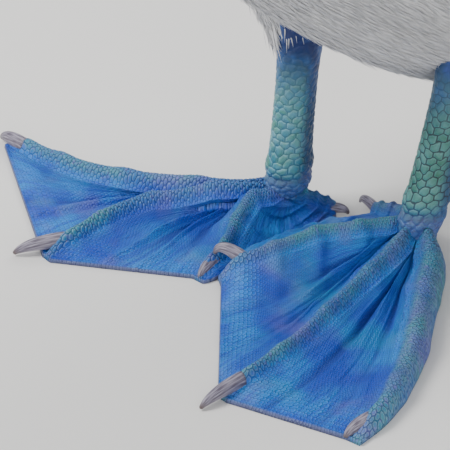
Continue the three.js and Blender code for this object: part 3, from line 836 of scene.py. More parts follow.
@dataclass(frozen=True)
class PlumageFinish:
    """Feathers whose colour is held on their own points."""

    name: str
    rough: float = 0.85
    barbs: float = 90.0
    contrast: float = 0.05
    shaft_share: float = 0.0

    def build(self) -> Material:
        """Makes the material.

        Returns:
            The material.
        """
        s = Shader(self.name)
        coat = s.node("ShaderNodeAttribute", {"attribute_name": "Coat"}, {})
        a, b = s.uv("Vane")
        slant = b * self.barbs + (a - 0.5).abs() * self.barbs * 0.55
        barb = s.math("SINE", slant * 6.2832)
        share = (barb * 0.5 + 0.5) * self.contrast
        colour = s.mix(share, Socket(s, coat.outputs["Color"]), rgb(70, 62, 58), "MULTIPLY")
        shaft = (1.0 - (a - 0.5).abs().step(0.012, 0.034)) * self.shaft_share
        colour = s.mix(shaft, colour, rgb(24, 18, 15))
        return s.surface({
            "Base Color": colour, "Roughness": self.rough, "Specular IOR Level": 0.2, "Sheen Weight": 0.15,
            "Normal": s.bump(barb * 0.5 + shaft * 3.0, 0.3, 0.0001),
        })


@dataclass(frozen=True)
class EyeFinish:
    """Wet eye with a yellow iris and a dark pupil, drawn by the distance from its axis."""

    iris: Colour = rgb(232, 196, 70)
    rim: Colour = rgb(120, 84, 22)

    def build(self) -> Material:
        """Makes the material.

        Returns:
            The material.
        """
        s = Shader("eye")
        a, b = s.uv("Along")
        fibre = s.noise(1.0, 2.0, s.vector(a * 60.0, b * 6.0))
        colour = s.mix(fibre.step(0.3, 0.7) * 0.35, self.iris, rgb(196, 140, 40))
        colour = s.mix(b.step(0.2, 0.25), colour, self.rim)
        colour = s.mix(b.step(0.27, 0.3), colour, rgb(26, 20, 16))
        colour = s.mix(1.0 - b.step(0.115, 0.125), colour, rgb(2, 2, 3))
        return s.surface({"Base Color": colour, "Roughness": 0.04, "Specular IOR Level": 0.3})


@dataclass(frozen=True)
class PlainFinish:
    """Plain matt finish with slight unevenness."""

    name: str
    colour: Colour
    other: Colour
    rough: float = 0.6
    grain: float = 300.0

    def build(self) -> Material:
        """Makes the material.

        Returns:
            The material.
        """
        s = Shader(self.name)
        n = s.noise(self.grain, 4.0)
        colour = s.mix(n.step(0.35, 0.65), self.colour, self.other)
        return s.surface({"Base Color": colour, "Roughness": self.rough, "Normal": s.bump(n, 0.4, 0.0004)})


# Legs and feet
class Path:
    """Smooth curve through points, measured by share of its length."""

    def __init__(self, points: Sequence[Sequence[float]]) -> None:
        """Keeps the points and their slopes.

        Args:
            points: Points in mm.
        """
        self.points = np.array(points, dtype=float)
        gaps = np.linalg.norm(np.diff(self.points, axis=0), axis=1)
        self.at = np.concatenate([[0.0], np.cumsum(gaps)])
        self.length = float(self.at[-1])
        self.at /= self.length
        self.slope = np.gradient(self.points, self.at, axis=0)

    def sample(self, share: Array) -> tuple[Array, Array]:
        """Points and directions along the curve.

        Args:
            share: Shares of its length.

        Returns:
            Points and unit directions.
        """
        share = np.clip(share, 0.0, 1.0)
        i = np.clip(np.searchsorted(self.at, share, side="right") - 1, 0, len(self.at) - 2)
        span = self.at[i + 1] - self.at[i]
        t = ((share - self.at[i]) / span)[:, None]
        p0, p1 = self.points[i], self.points[i + 1]
        m0, m1 = self.slope[i] * span[:, None], self.slope[i + 1] * span[:, None]
        h00, h10 = 2 * t**3 - 3 * t**2 + 1, t**3 - 2 * t**2 + t
        h01, h11 = -2 * t**3 + 3 * t**2, t**3 - t**2
        point = h00 * p0 + h10 * m0 + h01 * p1 + h11 * m1
        d = (6 * t**2 - 6 * t) * (p0 - p1) + (3 * t**2 - 4 * t + 1) * m0 + (3 * t**2 - 2 * t) * m1
        return point, unit(d)


class Side(Enum):
    """The bird's two sides."""

    LEFT = "l"
    RIGHT = "r"


class Strip(Enum):
    """Kinds of strip in the fan of a foot."""

    TOE = 0
    WEB = 1


@dataclass(frozen=True)
class Fold:
    """A soft ridge or valley that runs out over a web."""

    web: int
    start: float
    end: float
    width: float
    height: float
    first: float
    last: float


@dataclass(frozen=True)
class LegPlan:
    """Sizes and places of one leg, in mm."""

    side: Side
    ankle: tuple
    heel: tuple
    toes: tuple
    claws: tuple
    medial_bulge: float
    medial_raised: bool
    folds: tuple = ()


LEFT_LEG = LegPlan(
    side=Side.LEFT,
    ankle=(19.2, 12.6, 13.0),
    heel=(16.5, 27.0, 68.0),
    toes=(
        ((24, 11, 13), (32, 7.3, 11.5), (45.3, -3.6, 10), (57.4, -13.4, 10), (68, -22.8, 9),
         (77.4, -33.3, 8), (85, -43.5, 7), (88, -50.2, 6)),
        ((20.5, 7, 13), (23.5, 1.1, 12), (29, -9.8, 11), (34, -21.3, 10), (40, -33.9, 9.3),
         (45, -44.9, 8.6), (48.8, -56, 7.8), (52.6, -72.4, 6.3)),
        ((15.5, 9, 12.5), (12.4, -2, 12.6), (11.6, -8.8, 13.5), (9.5, -17.2, 14), (9.3, -24, 14),
         (9.1, -32.3, 13.5), (8.4, -40.5, 12.6), (6.8, -45.4, 11)),
        ((14, 12.6, 11.5), (8, 11.4, 10.6), (2.7, 9.2, 9), (-1.8, 7.8, 7.2)),
    ),
    claws=((87.8, -57, 0.7), (55.1, -86.6, 0.7), (-0.9, -49.6, 8.6), (-10.3, 8.5, 2.2)),
    medial_bulge=6.5,
    medial_raised=True,
    folds=(
        Fold(1, 0.62, 0.50, 0.07, 2.0, 0.05, 0.75),
        Fold(1, 0.80, 0.74, 0.05, -1.8, 0.05, 0.6),
        Fold(1, 0.40, 0.32, 0.06, -1.5, 0.10, 0.8),
        Fold(1, 0.22, 0.18, 0.05, 1.2, 0.10, 0.9),
        Fold(0, 0.45, 0.52, 0.09, 1.4, 0.05, 0.7),
        Fold(0, 0.72, 0.70, 0.06, -1.4, 0.05, 0.8),
        Fold(0, 0.20, 0.28, 0.06, -1.0, 0.10, 0.7),
        Fold(2, 0.35, 0.42, 0.08, -1.0, 0.15, 1.0),
        Fold(2, 0.70, 0.66, 0.07, 0.8, 0.15, 1.0),
    ),
)
RIGHT_LEG = LegPlan(
    side=Side.RIGHT,
    ankle=(-19.2, -12.6, 13.0),
    heel=(-15.0, -11.2, 68.0),
    toes=(
        ((-22, -17, 13.5), (-26, -24.5, 12.5), (-33, -31.6, 11), (-41, -40, 10), (-54, -52, 8.5),
         (-68, -61.3, 7.5), (-82, -67, 6.6), (-91, -69, 6)),
        ((-19.5, -17.5, 13.6), (-22.5, -24.5, 13.6), (-27.5, -33.5, 13.6), (-33, -42, 11),
         (-38.4, -53, 9.2), (-39, -63, 8.6), (-37.4, -72.6, 8), (-35.6, -84, 6.6)),
        ((-17, -15.5, 13), (-17.4, -21.1, 13.2), (-17.6, -26.6, 13.4), (-14.8, -32, 11.8),
         (-10.6, -37.4, 10.2), (-7, -42, 8.6), (-4.6, -46, 7.4), (-3.4, -49.4, 6.2)),
        ((-17, -12, 11), (-14.4, -7.8, 9.4), (-12.2, -3.6, 7.2), (-10, -0.4, 5.2)),
    ),
    claws=((-101, -71.4, 0.7), (-41.6, -97.8, 0.7), (-1.5, -54.6, 0.7), (-8.1, 2.9, 0.9)),
    medial_bulge=-3.0,
    medial_raised=False,
    folds=(
        Fold(0, 0.35, 0.40, 0.06, 1.2, 0.10, 1.0),
        Fold(0, 0.62, 0.66, 0.05, 1.3, 0.10, 1.0),
        Fold(0, 0.50, 0.53, 0.05, -0.9, 0.15, 1.0),
        Fold(1, 0.30, 0.36, 0.03, 1.3, 0.12, 1.0),
        Fold(1, 0.55, 0.60, 0.03, 1.3, 0.12, 1.0),
        Fold(1, 0.43, 0.48, 0.06, -1.0, 0.15, 0.9),
        Fold(1, 0.78, 0.76, 0.05, -1.0, 0.10, 0.9),
    ),
)
# Half widths of the toes from root to end, outer toe first, in mm
TOE_HALF_WIDTH = ((5.2, 4.8, 4.4, 2.9), (5.0, 4.1, 3.6, 2.5), (4.7, 4.0, 3.5, 2.5), (3.8, 3.3, 2.8, 2.0))
# Knuckles: shares along a toe, spread as a share, and how far each rises and swells in mm
KNUCKLES = (0.27, 0.54, 0.8)
KNUCKLE_SPREAD = 0.045
KNUCKLE_RISE = 0.75
KNUCKLE_SWELL = 0.5
# Half width that a toe may have, as a share of the gap between its middle line and a neighbour's
TOE_CROWDING = 0.44
TOE_THICKNESS = (11.0, 10.0, 9.0, 8.0)
# Rounded end of a toe: where it starts, and the shares of width and height that don't shrink there
TOE_END = 0.95
END_WIDTH = 0.6
END_HEIGHT = 0.35
# Share of a toe's height at which its web leaves it, how much less at its end, and on a raised inner toe
WEB_LEAVES = 0.6
WEB_LEAVES_LOWER = 0.14
WEB_LEAVES_RAISED = 0.62
WEB_THICKNESS = 1.3
# Lowest top of the skin over the floor
WEB_FLOOR = WEB_THICKNESS + 0.12
# How far the webs' front edge runs ahead of the toes' ends, and the height that is left there
WEB_REACH = 6.2
SKIRT_LEFT = 0.3
# How far the edge between two toes bows back, as a share of their length
WEB_BOW = (0.0, 0.0, 0.12)
# Height at which a web lies between its toes: near the front, and more towards the ankle
WEB_LIES = 1.7
WEB_CLIMBS = 8.5
# Folds of the plans are drawn this much higher, with fine wrinkles of this height in mm between them
FOLD_GAIN = 1.7
WRINKLE = 0.5
CLAW_BASE = (2.6, 2.5, 2.3, 1.8)
# Shares of the fan's columns at which the strips end: toe, web, toe, web, toe, web, toe
STRIP_ENDS = (0.085, 0.345, 0.43, 0.69, 0.775, 0.92, 1.0)
# Cells of the skin across each strip, and their length in mm
STRIP_CELLS = (5.4, 36.0, 5.0, 38.0, 5.0, 22.0, 4.4)
CELL_ALONG = 1.0


def toe_end(r: Array) -> Array:
    """How full a toe still is towards its rounded end.

    Args:
        r: Shares of its length.

    Returns:
        1 along the toe, less at its end.
    """
    past = np.clip((r - TOE_END) / (1.0 - TOE_END), 0, 1)
    return np.sqrt(np.clip(1.0 - past**2 * 0.72, 0, 1))


@dataclass
class Foot:
    """One webbed foot: four ridged toes and three webs as one closed skin."""

    plan: LegPlan
    columns: int = 330
    rows: int = 250
    top_share: float = 0.78
    relief: float = 0.3
    hub_depth: float = 6.0
    paths: list = field(default_factory=list)

    def __post_init__(self) -> None:
        """Lays a path along each toe."""
        self.paths = [Path(p) for p in self.plan.toes]
        self.turn = 1.0 if self.plan.side is Side.LEFT else -1.0

    def toe_frame(self, k: int, r: Array) -> tuple[Array, Array, Array, Array]:
        """Middle line, sideways direction, half width and sole height of a toe.

        Args:
            k: Which toe, from the outer one.
            r: Shares of its length.

        Returns:
            Points, directions, half widths and sole heights.
        """
        point, ahead = self.paths[k].sample(r)
        flat = unit(ahead * np.array([1.0, 1.0, 0.0]))
        across = np.stack([flat[:, 1], -flat[:, 0], np.zeros_like(r)], axis=1) * self.turn
        bulge = sum(bell(r, knuckle, KNUCKLE_SPREAD) for knuckle in KNUCKLES)
        point[:, 2] += KNUCKLE_RISE * bulge
        half = blend(TOE_HALF_WIDTH[k], r) + KNUCKLE_SWELL * bulge
        for other in (k - 1, k + 1):
            if 0 <= other < len(self.paths):
                gap = np.linalg.norm((self.paths[other].sample(r)[0] - point)[:, :2], axis=1)
                half = np.minimum(half, TOE_CROWDING * gap + 0.5)
        sole = np.maximum(0.0, point[:, 2] - TOE_THICKNESS[k])
        return point, across, half, sole

    def edge_level(self, k: int, r: Array) -> Array:
        """Height at which a web leaves a toe.

        Args:
            k: Which toe.
            r: Shares of its length.

        Returns:
            Heights in mm.
        """
        point, _, _, sole = self.toe_frame(k, r)
        rise = WEB_LEAVES - WEB_LEAVES_LOWER * smooth(0.5, 1.0, r)
        if self.plan.medial_raised and k >= 2:
            rise = np.full_like(r, WEB_LEAVES_RAISED)
        return between(sole, point[:, 2], rise)

    def skirt(self, k: int, across: Array, r: Array) -> tuple[Array, Array]:
        """How the skin runs on ahead of a toe's end, low under its claw.

        Args:
            k: Which toe.
            across: Sideways directions of the toe.
            r: Shares of its length.

        Returns:
            Moves in mm and the share of the height that is left.
        """
        ahead = np.stack([-across[:, 1], across[:, 0], 0 * r], axis=1) * self.turn
        webbed = k < len(self.paths) - 1
        reach = WEB_REACH * smooth(0.88, 1.0, r) * webbed
        return ahead * reach[:, None], 1.0 - (1.0 - SKIRT_LEFT) * smooth(0.93, 1.0, r) * webbed

    def toe_strip(self, k: int, s: Array, r: Array) -> tuple[Array, Array]:
        """Places points over a toe.

        Args:
            k: Which toe.
            s: Place across, from -1 on its outer side to 1.
            r: Shares of its length.

        Returns:
            Top points and underside heights.
        """
        point, across, half, sole = self.toe_frame(k, r)
        end = toe_end(r)
        level = self.edge_level(k, r)
        outside = (k == 0) & (s < 0) | (k == len(self.paths) - 1) & (s > 0)
        low = np.where(outside, sole, level)
        soft = np.cos(np.pi * s / 2) ** 2.2
        arch = np.where(outside, np.clip(1.0 - np.abs(s) ** 2.6, 0, 1) ** 0.6, soft)
        z = between(low, point[:, 2], arch)
        move, left = self.skirt(k, across, r)
        high = between(END_HEIGHT, 1, end)
        z = np.maximum(sole + (z - sole) * high * left, sole + WEB_FLOOR)
        place = point + across * (half * s * between(END_WIDTH, 1, end))[:, None] + move
        place[:, 2] = z
        return place, np.where(outside & (np.abs(s) > 0.999), z, sole)

    def web_strip(self, k: int, s: Array, r: Array) -> tuple[Array, Array, Array]:
        """Places points over a web.

        Args:
            k: Which web, from the outer one.
            s: Place across, from 0 to 1.
            r: Shares of the toes' length.

        Returns:
            Top points, underside heights and how deep in a fold each point lies.
        """
        bow = 1.0 - WEB_BOW[k] * 4.0 * s * (1.0 - s) * smooth(0.1, 0.9, r)
        rb = r * bow
        p0, a0, h0, _ = self.toe_frame(k, rb)
        p1, a1, h1, _ = self.toe_frame(k + 1, rb)
        end = toe_end(rb)
        wide = between(END_WIDTH, 1, end)[:, None]
        move0, left0 = self.skirt(k, a0, rb)
        move1, left1 = self.skirt(k + 1, a1, rb)
        e0 = p0 + a0 * h0[:, None] * wide + move0
        e1 = p1 - a1 * h1[:, None] * wide + move1
        place = between(e0, e1, s[:, None])
        hang = np.clip(np.sin(np.pi * s), 0, 1)
        if k == 2:
            bulge = self.plan.medial_bulge * np.sin(np.pi * s**0.8) ** 0.8 * r**1.4
            place[:, 0] -= bulge
        level = self.edge_level(k, rb) * left0 * (1 - s) + self.edge_level(k + 1, rb) * left1 * s
        level *= between(END_HEIGHT, 1, between(END_HEIGHT, 1, end))
        if k == 2 and self.plan.medial_raised:
            low = level - 1.2
        else:
            low = WEB_LIES + WEB_CLIMBS * (1.0 - rb) ** 3
        low = np.minimum(low, level)
        sag = hang**0.85 * smooth(0.02, 0.3, r)
        z = between(level, low, sag)
        fold = np.zeros_like(s)
        for f in self.plan.folds:
            if f.web != k:
                continue
            centre = f.start + (f.end - f.start) * r
            fade = 1.0 - 0.75 * smooth(f.last - 0.35, f.last + 0.05, r)
            window = smooth(f.first, f.first + 0.15, r) * fade
            fold += FOLD_GAIN * f.height * bell(s, centre, f.width) * window
        wrinkle = wave_noise((s * 9.0, r * 1.3, 0 * s), 31 + k, 1.0) * WRINKLE * hang * smooth(0.1, 0.4, r)
        z = np.maximum(z + (fold + wrinkle) * hang**0.5, WEB_FLOOR)
        place[:, 2] = z
        return place, np.maximum(z - WEB_THICKNESS, 0.0), fold + wrinkle

    def build(self, material: Material) -> Piece:
        """Makes the foot.

        Args:
            material: The blue skin.

        Returns:
            The piece.
        """
        sheet = Sheet(self.columns, self.rows)
        u, v = sheet.u, sheet.v
        top = v <= self.top_share
        r = np.where(top, v / self.top_share, (1.0 - v) / (1.0 - self.top_share))
        r = np.clip(r, 0.0, 1.0)
        points = np.zeros((len(u), 3))
        under, toe, depth, cells = np.zeros((4, len(u)))
        start = 0.0
        base = 0.0
        for i, stop in enumerate(STRIP_ENDS):
            mask = (u >= start - 1e-9) & (u <= stop + 1e-9)
            share = (u[mask] - start) / (stop - start)
            kind = Strip(i % 2)
            if kind is Strip.TOE:
                s = share * 2.0 - 1.0
                points[mask], under[mask] = self.toe_strip(i // 2, s, r[mask])
                toe[mask] = 1.0 - 0.92 * smooth(0.15, 0.85, np.abs(s))
                if i in (0, len(STRIP_ENDS) - 1):
                    outer = (s < 0) if i == 0 else (s > 0)
                    toe[mask] = np.where(outer, 1.0, toe[mask])
            else:
                points[mask], under[mask], depth[mask] = self.web_strip(i // 2, share, r[mask])
                near = np.minimum(share, 1 - share)
                toe[mask] = 0.15 * (1.0 - smooth(0.0, 0.1, near))
            cells[mask] = base + share * STRIP_CELLS[i]
            base += STRIP_CELLS[i]
            start = stop
        z_top = points[:, 2].copy()
        points[:, 2] = np.where(top, z_top, under)
        hub = sheet.at_ends()
        ankle = np.array(self.plan.ankle)
        points[hub] = ankle - np.array([0, 0, self.hub_depth])
        rim = (np.abs(u) < EDGE_GAP) | (np.abs(u - 1) < EDGE_GAP)
        points[rim, 2] = under[rim]
        sheet.place(points)
        length = np.mean([p.length for p in self.paths[:3]])
        flat = (points[:, 0], points[:, 1], 0 * u)
        a = cells + 0.42 * wave_noise(flat, 5, 9.0)
        b = r * length / CELL_ALONG + 0.3 * wave_noise(flat, 6, 11.0)
        edge = cell_edge(a, b)
        lift = smooth(0.0, 0.25, edge) * (0.25 + 0.75 * toe) * self.relief * top
        normal = sheet.normals()
        inner = ~rim & ~hub & top
        points[inner] += normal[inner] * lift[inner][:, None] * np.sign(normal[inner][:, 2:3] + 0.2)
        points[:, 2] = np.maximum(points[:, 2], 0.0)
        sheet.place(points)
        pale = smooth(0.6, 1.0, r) * 0.3 + 0.35 * wave_noise((points[:, 0], points[:, 1], 0 * u), 8, 30.0)
        sheet.uv("Cells", a, b)
        # The third channel of Zone holds the folds' height, from which the finish paints shade into their
        # valleys
        sheet.tint("Zone", [toe, r, np.clip(0.5 + depth * 0.35, 0, 1), np.clip(pale, 0, 1)])
        side = self.plan.side.value
        piece = sheet.finish(f"webbed_foot_{side}", material)
        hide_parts(f"foot_{side}")
        return piece


# Bare leg: shares from ankle to heel at which it starts and ends, and its length in mm
LEG_FROM = -0.14
LEG_TO = 1.22
LEG_LENGTH = 57.0
# Share of the crease at the ankle, into which shade is painted
ANKLE_CREASE = 0.045
# Way round from the left at which the shade painted on the leg's skin is darkest
SHADED_SIDE = math.radians(80)
# Half sizes of the leg in mm, the share at which they start and how many shares they cover
LEG_SIZES_FROM = -0.2
LEG_SIZES_SPAN = 1.42
LEG_DEPTH = (8.8, 7.6, 6.9, 6.7, 6.8, 7.6, 8.4)
LEG_WIDTH = (7.2, 6.0, 5.3, 5.1, 5.3, 6.2, 6.8)


@dataclass
class Tarsus:
    """Bare scaled leg from the ankle's folds up into the belly feathers."""

    plan: LegPlan
    columns: int = 150
    rows: int = 210
    cells_round: int = 12
    cell_height: float = 2.9

    def build(self, material: Material) -> Piece:
        """Makes the leg.

        Args:
            material: The scaled skin.

        Returns:
            The piece.
        """
        sheet = Sheet(self.columns, self.rows)
        u, v = sheet.u, sheet.v
        ankle, heel = np.array(self.plan.ankle), np.array(self.plan.heel)
        t = between(LEG_FROM, LEG_TO, v)
        centre = between(ankle, heel, t[:, None])
        share = (t - LEG_SIZES_FROM) / LEG_SIZES_SPAN
        deep = blend(LEG_DEPTH, share)
        wide = blend(LEG_WIDTH, share)
        fold = 0.5 * bell(t, 0.13, 0.04) - 0.5 * bell(t, 0.06, 0.02)
        fold -= 2.2 * (1.0 - smooth(-0.12, 0.03, t))
        angle = 2 * np.pi * u
        points = centre.copy()
        points[:, 0] += np.cos(angle) * (wide + fold)
        points[:, 1] += np.sin(angle) * (deep + fold)
        ends = sheet.at_ends()
        points[ends] = centre[ends]
        sheet.place(points)
        a = u * self.cells_round
        wander = 0.35 * wave_noise(points.T, 15, 9.0)
        b = t * LEG_LENGTH / self.cell_height + wander
        edge = cell_edge(a, b)
        plain = smooth(0.45, 1.0, t + 0.03 * np.sin(angle * 2))
        normal = sheet.normals()
        outward = np.stack([np.cos(angle), np.sin(angle), 0 * u], axis=1)
        normal *= np.sign(np.sum(normal * outward, axis=1, keepdims=True) + 1e-9)
        lift = smooth(0.02, 0.25, edge) * 0.3 * (1 - 0.7 * plain)
        seam = np.abs(u - 0.5) > 0.4999
        direction = np.where(seam[:, None], outward, normal)
        points[~ends] += direction[~ends] * lift[~ends][:, None]
        sheet.place(points)
        # Painted shade: how far each point lies on the leg's darker side
        side_shade = smooth(-0.1, 0.6, np.cos(angle - SHADED_SIDE))
        # Painted shade in the crease at the ankle
        crease_shade = 0.6 * bell(t, ANKLE_CREASE, 0.02)
        sheet.uv("Cells", a, b)
        sheet.tint("Zone", [side_shade, 1.0 - smooth(-0.02, 0.17, t), crease_shade, plain])
        side = self.plan.side.value
        piece = sheet.finish(f"scaled_leg_{side}", material)
        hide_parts(f"shin_{side}")
        return piece


@dataclass
class Claw:
    """One curved claw with a ridged back."""

    plan: LegPlan
    order: int
    columns: int = 28
    rows: int = 30
    buried: float = 2.5
    bend_share: float = 0.78
    bend_rise: float = 0.8

    def build(self, material: Material) -> Piece:
        """Makes the claw.

        Args:
            material: The horn.

        Returns:
            The piece.
        """
        toe = self.plan.toes[self.order]
        end, before = np.array(toe[-1], float), np.array(toe[-2], float)
        along = unit((end - before) * np.array([1, 1, 0]))
        base = CLAW_BASE[self.order]
        start = np.array([end[0], end[1], end[2] - base - 0.4])
        target = np.array(self.plan.claws[self.order], float)
        bend = between(start, target, self.bend_share) + np.array([0, 0, start[2] * self.bend_rise])
        first = start - along * self.buried
        sheet = Sheet(self.columns, self.rows)
        u, t = sheet.u, sheet.v[:, None]
        centre = first * (1 - t) ** 2 + bend * 2 * t * (1 - t) + target * t**2
        ahead = unit(between(bend - first, target - bend, t))
        side = unit(np.stack([-ahead[:, 1], ahead[:, 0], 0 * u], axis=1))
        up = np.cross(ahead, side)
        up *= np.sign(up[:, 2:3])
        v = sheet.v
        radius = base * (1.12 - 0.92 * v**1.7) * np.where(sheet.at_ends(), 0.0, 1.0)
        angle = 2 * np.pi * u
        ridge = 1.0 + 0.12 * np.clip(np.sin(angle), 0, 1) ** 6 - 0.18 * np.clip(-np.sin(angle), 0, 1) ** 2
        points = centre + side * (np.cos(angle) * radius * 0.8)[:, None]
        points += up * (np.sin(angle) * radius * ridge)[:, None]
        points[:, 2] = np.maximum(points[:, 2], 0.02)
        sheet.place(points)
        sheet.uv("Along", u, v)
        name = f"{self.plan.side.value}_{4 - self.order}"
        piece = sheet.finish(f"horn_claw_{name}", material)
        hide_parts(f"claw_{name}")
        return piece


# Body form
# Each row: belly forward, belly height, back forward, back height, half width
TRUNK = np.array([
    (-139, 66, -128, 101, 20), (-112, 50, -113, 119, 38), (-78, 41, -99, 138, 53), (-42, 42, -84, 160, 62),
    (-10, 56, -67, 185, 66), (24, 81, -47, 213, 67), (57, 114, -26, 242, 65), (84, 158, -5, 270, 60),
    (104, 204, 14, 295, 52), (109, 246, 30, 318, 44), (106, 282, 42, 342, 36), (107, 314, 54, 364, 31),
    (112, 343, 66, 382, 28), (119, 370, 74, 401, 26), (131, 391, 72, 430, 25), (143, 404, 84, 452, 24),
    (150, 411, 112, 459, 21), (156, 416, 136, 449, 16),
], dtype=float)
KEEL_DEPTH = (0, 2, 9, 17, 20, 17, 12, 7, 3, 0, 0, 0, 0, 0, 0, 0, 0, 0)
KEEL_SPREAD = 20.0
BODY_SQUARENESS = 2.2
OVER_TAIL = np.array([
    (-139, 66, -128, 101, 31), (-178, 58, -160, 93, 31), (-225, 48, -212, 82, 27), (-278, 38, -268, 69, 20),
    (-330, 30, -324, 54, 12),
], dtype=float)
GUIDE = np.concatenate([TRUNK[1:10][::-1], OVER_TAIL])


class BodyForm:
    """Surface of the body from tail root to face, by row share and turn from the back."""

    rows = TRUNK

    @classmethod
    def sample(cls, row: Array, turn: Array, grow: float | Array = 0.0) -> Array:
        """Points on the body.

        Args:
            row: Share from the tail root to the face.
            turn: Share of a turn from the back's middle line towards the left.
            grow: Distance outwards in mm.

        Returns:
            Points in mm.
        """
        table = cls.rows
        columns = [blend(table[:, k], row) for k in range(5)]
        belly = np.stack([0 * row, -columns[0], columns[1]], axis=1)
        back = np.stack([0 * row, -columns[2], columns[3]], axis=1)
        middle = (belly + back) / 2
        up = back - belly
        half_height = np.linalg.norm(up, axis=1) / 2 + grow
        up = unit(up)
        half_width = columns[4] + grow
        angle = turn * 2 * np.pi
        c, s = np.cos(angle), np.sin(angle)
        power = 2 / BODY_SQUARENESS
        x = np.sign(s) * np.abs(s) ** power * half_width
        keel = cls.keel(row)
        hang = np.where(c < 0, keel * (bell(x, 0, KEEL_SPREAD) - np.abs(c) ** power), 0.0)
        y = np.sign(c) * np.abs(c) ** power * half_height - hang
        points = middle + up * y[:, None]
        points[:, 0] += x
        return points

    @classmethod
    def keel(cls, row: Array) -> Array:
        """How far the belly feathers hang between the legs.

        Args:
            row: Share from the tail root to the face.

        Returns:
            Distances in mm.
        """
        return blend(KEEL_DEPTH, row)

    @classmethod
    def frame(cls, row: Array, turn: Array, grow: float | Array = 0.0) -> tuple[Array, Array, Array]:
        """Points, outward normals and the direction of the feathers' lie.

        Args:
            row: Share from the tail root to the face.
            turn: Share of a turn.
            grow: Distance outwards.

        Returns:
            Points, normals and directions towards the tail.
        """
        step = 0.004
        p = cls.sample(row, turn, grow)
        along = cls.sample(np.clip(row - step, 0, 1), turn, grow)
        along -= cls.sample(np.clip(row + step, 0, 1), turn, grow)
        across = cls.sample(row, turn + step, grow) - cls.sample(row, turn - step, grow)
        lie = unit(along)
        normal = unit(np.cross(across, along))
        return p, normal, lie


class WingForm(BodyForm):
    """Guide surface of the folded wings, from the shoulder back over the tail."""

    rows = GUIDE

    @classmethod
    def keel(cls, row: Array) -> Array:
        """The wings lie over a body without a keel.

        Args:
            row: Share from the shoulder back over the tail.

        Returns:
            Zero for each share.
        """
        return np.zeros_like(row)


WHITE = np.array(rgb(236, 235, 234))
GREY_WHITE = np.array(rgb(206, 207, 212))
BUFF = np.array(rgb(196, 172, 144))
BROWN = np.array(rgb(104, 78, 58))
DARK = np.array(rgb(66, 50, 40))


# Turns from the back and rows from the tail root over which the brown back ends
MANTLE_TURNS = (0.16, 0.27)
MANTLE_ROWS = (0.5, 0.6)
# Rows over which the streaked hood begins
HOOD_ROWS = (0.52, 0.66)
# Rows of the pale rump and of the white patch on the nape, and the patch's spread
RUMP_ROW = 0.14
NAPE_ROW = 0.56
NAPE_SPREAD = 0.04
# Turns from the crown, and the rows at which the head's feathers end there
FACE_TURNS = (0.0, 0.12, 0.19, 0.3, 0.4, 0.5)
FACE_ROWS = (0.996, 0.985, 0.955, 0.945, 0.905, 0.89)


def tone(first: Array, second: Array, share: Array) -> Array:
    """Goes from one colour towards another, point by point.

    Args:
        first: A colour, or one for each point.
        second: The other colour.
        share: Shares of the way, cut to 0 and 1.

    Returns:
        Array of colours.
    """
    return between(first, second, np.clip(share, 0, 1)[:, None])


def body_colour(row: Array, turn: Array, noise: Array) -> Array:
    """Markings of the body by place.

    Args:
        row: Share from the tail root to the face.
        turn: Share of a turn from the back.
        noise: Random numbers from -1 to 1.

    Returns:
        Array of colours.
    """
    back = 1.0 - smooth(*MANTLE_TURNS, np.minimum(turn % 1.0, 1 - turn % 1.0) + noise * 0.02)
    trunk = 1.0 - smooth(*MANTLE_ROWS, row)
    head = smooth(*HOOD_ROWS, row + noise * 0.02)
    colour = tone(WHITE, GREY_WHITE, 0.5 + noise * 0.5)
    mantle = tone(BROWN, DARK, 0.5 + noise)
    rump = 1.0 - smooth(0.04, 0.12, np.abs(row - RUMP_ROW) + noise * 0.02)
    colour = tone(colour, mantle, back * trunk * (1 - 0.85 * rump))
    streak = np.clip(0.5 + noise * 1.1, 0, 1)
    hood = tone(tone(BUFF, BROWN, streak), WHITE, 0.35 * (1 - streak))
    hood = tone(hood, WHITE, bell(row, NAPE_ROW, NAPE_SPREAD) * back)
    return tone(colour, hood, head)


def face_edge(turn: Array) -> Array:
    """Row share at which the head's feathers end and bare skin begins.

    Args:
        turn: Share of a turn from the crown.

    Returns:
        Row shares.
    """
    away = np.minimum(turn % 1.0, 1 - turn % 1.0)
    return np.interp(away, FACE_TURNS, FACE_ROWS)


@dataclass
class BodySkin:
    """Seamless skin under the plumage of tail root, body, neck and head."""

    columns: int = 120
    rows: int = 200
    depth: float = 1.6

    def build(self, material: Material) -> Piece:
        """Makes the skin.

        Args:
            material: Its plumage finish.

        Returns:
            The piece.
        """
        sheet = Sheet(self.columns, self.rows)
        u, v = sheet.u, sheet.v
        grow = -self.depth * (1 - 0.8 * smooth(0.86, 0.93, v))
        points = BodyForm.sample(v, u, grow)
        sheet.close_ends(points)
        sheet.place(points)
        noise = wave_noise(points.T, 40, 4.0)
        colour = body_colour(v, u, noise)
        face = smooth(-0.006, 0.006, v - face_edge(u))
        slate = np.array(rgb(74, 88, 104))
        slate = slate[None] * (1.0 + 0.14 * noise[:, None])
        colour = tone(colour, slate, face)
        sheet.tint("Coat", [colour[:, 0], colour[:, 1], colour[:, 2], np.ones(len(u))])
        sheet.bare_vane()
        piece = sheet.finish("body_skin", material)
        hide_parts("torso", "neck", "head")
        return piece


# Depth of the thigh's skin under its down, in mm
UNDER_DOWN = -2.0
# How far the down in front of the leg stands ahead and hangs lower
FRONT_TUFT = (1.5, 9.0)


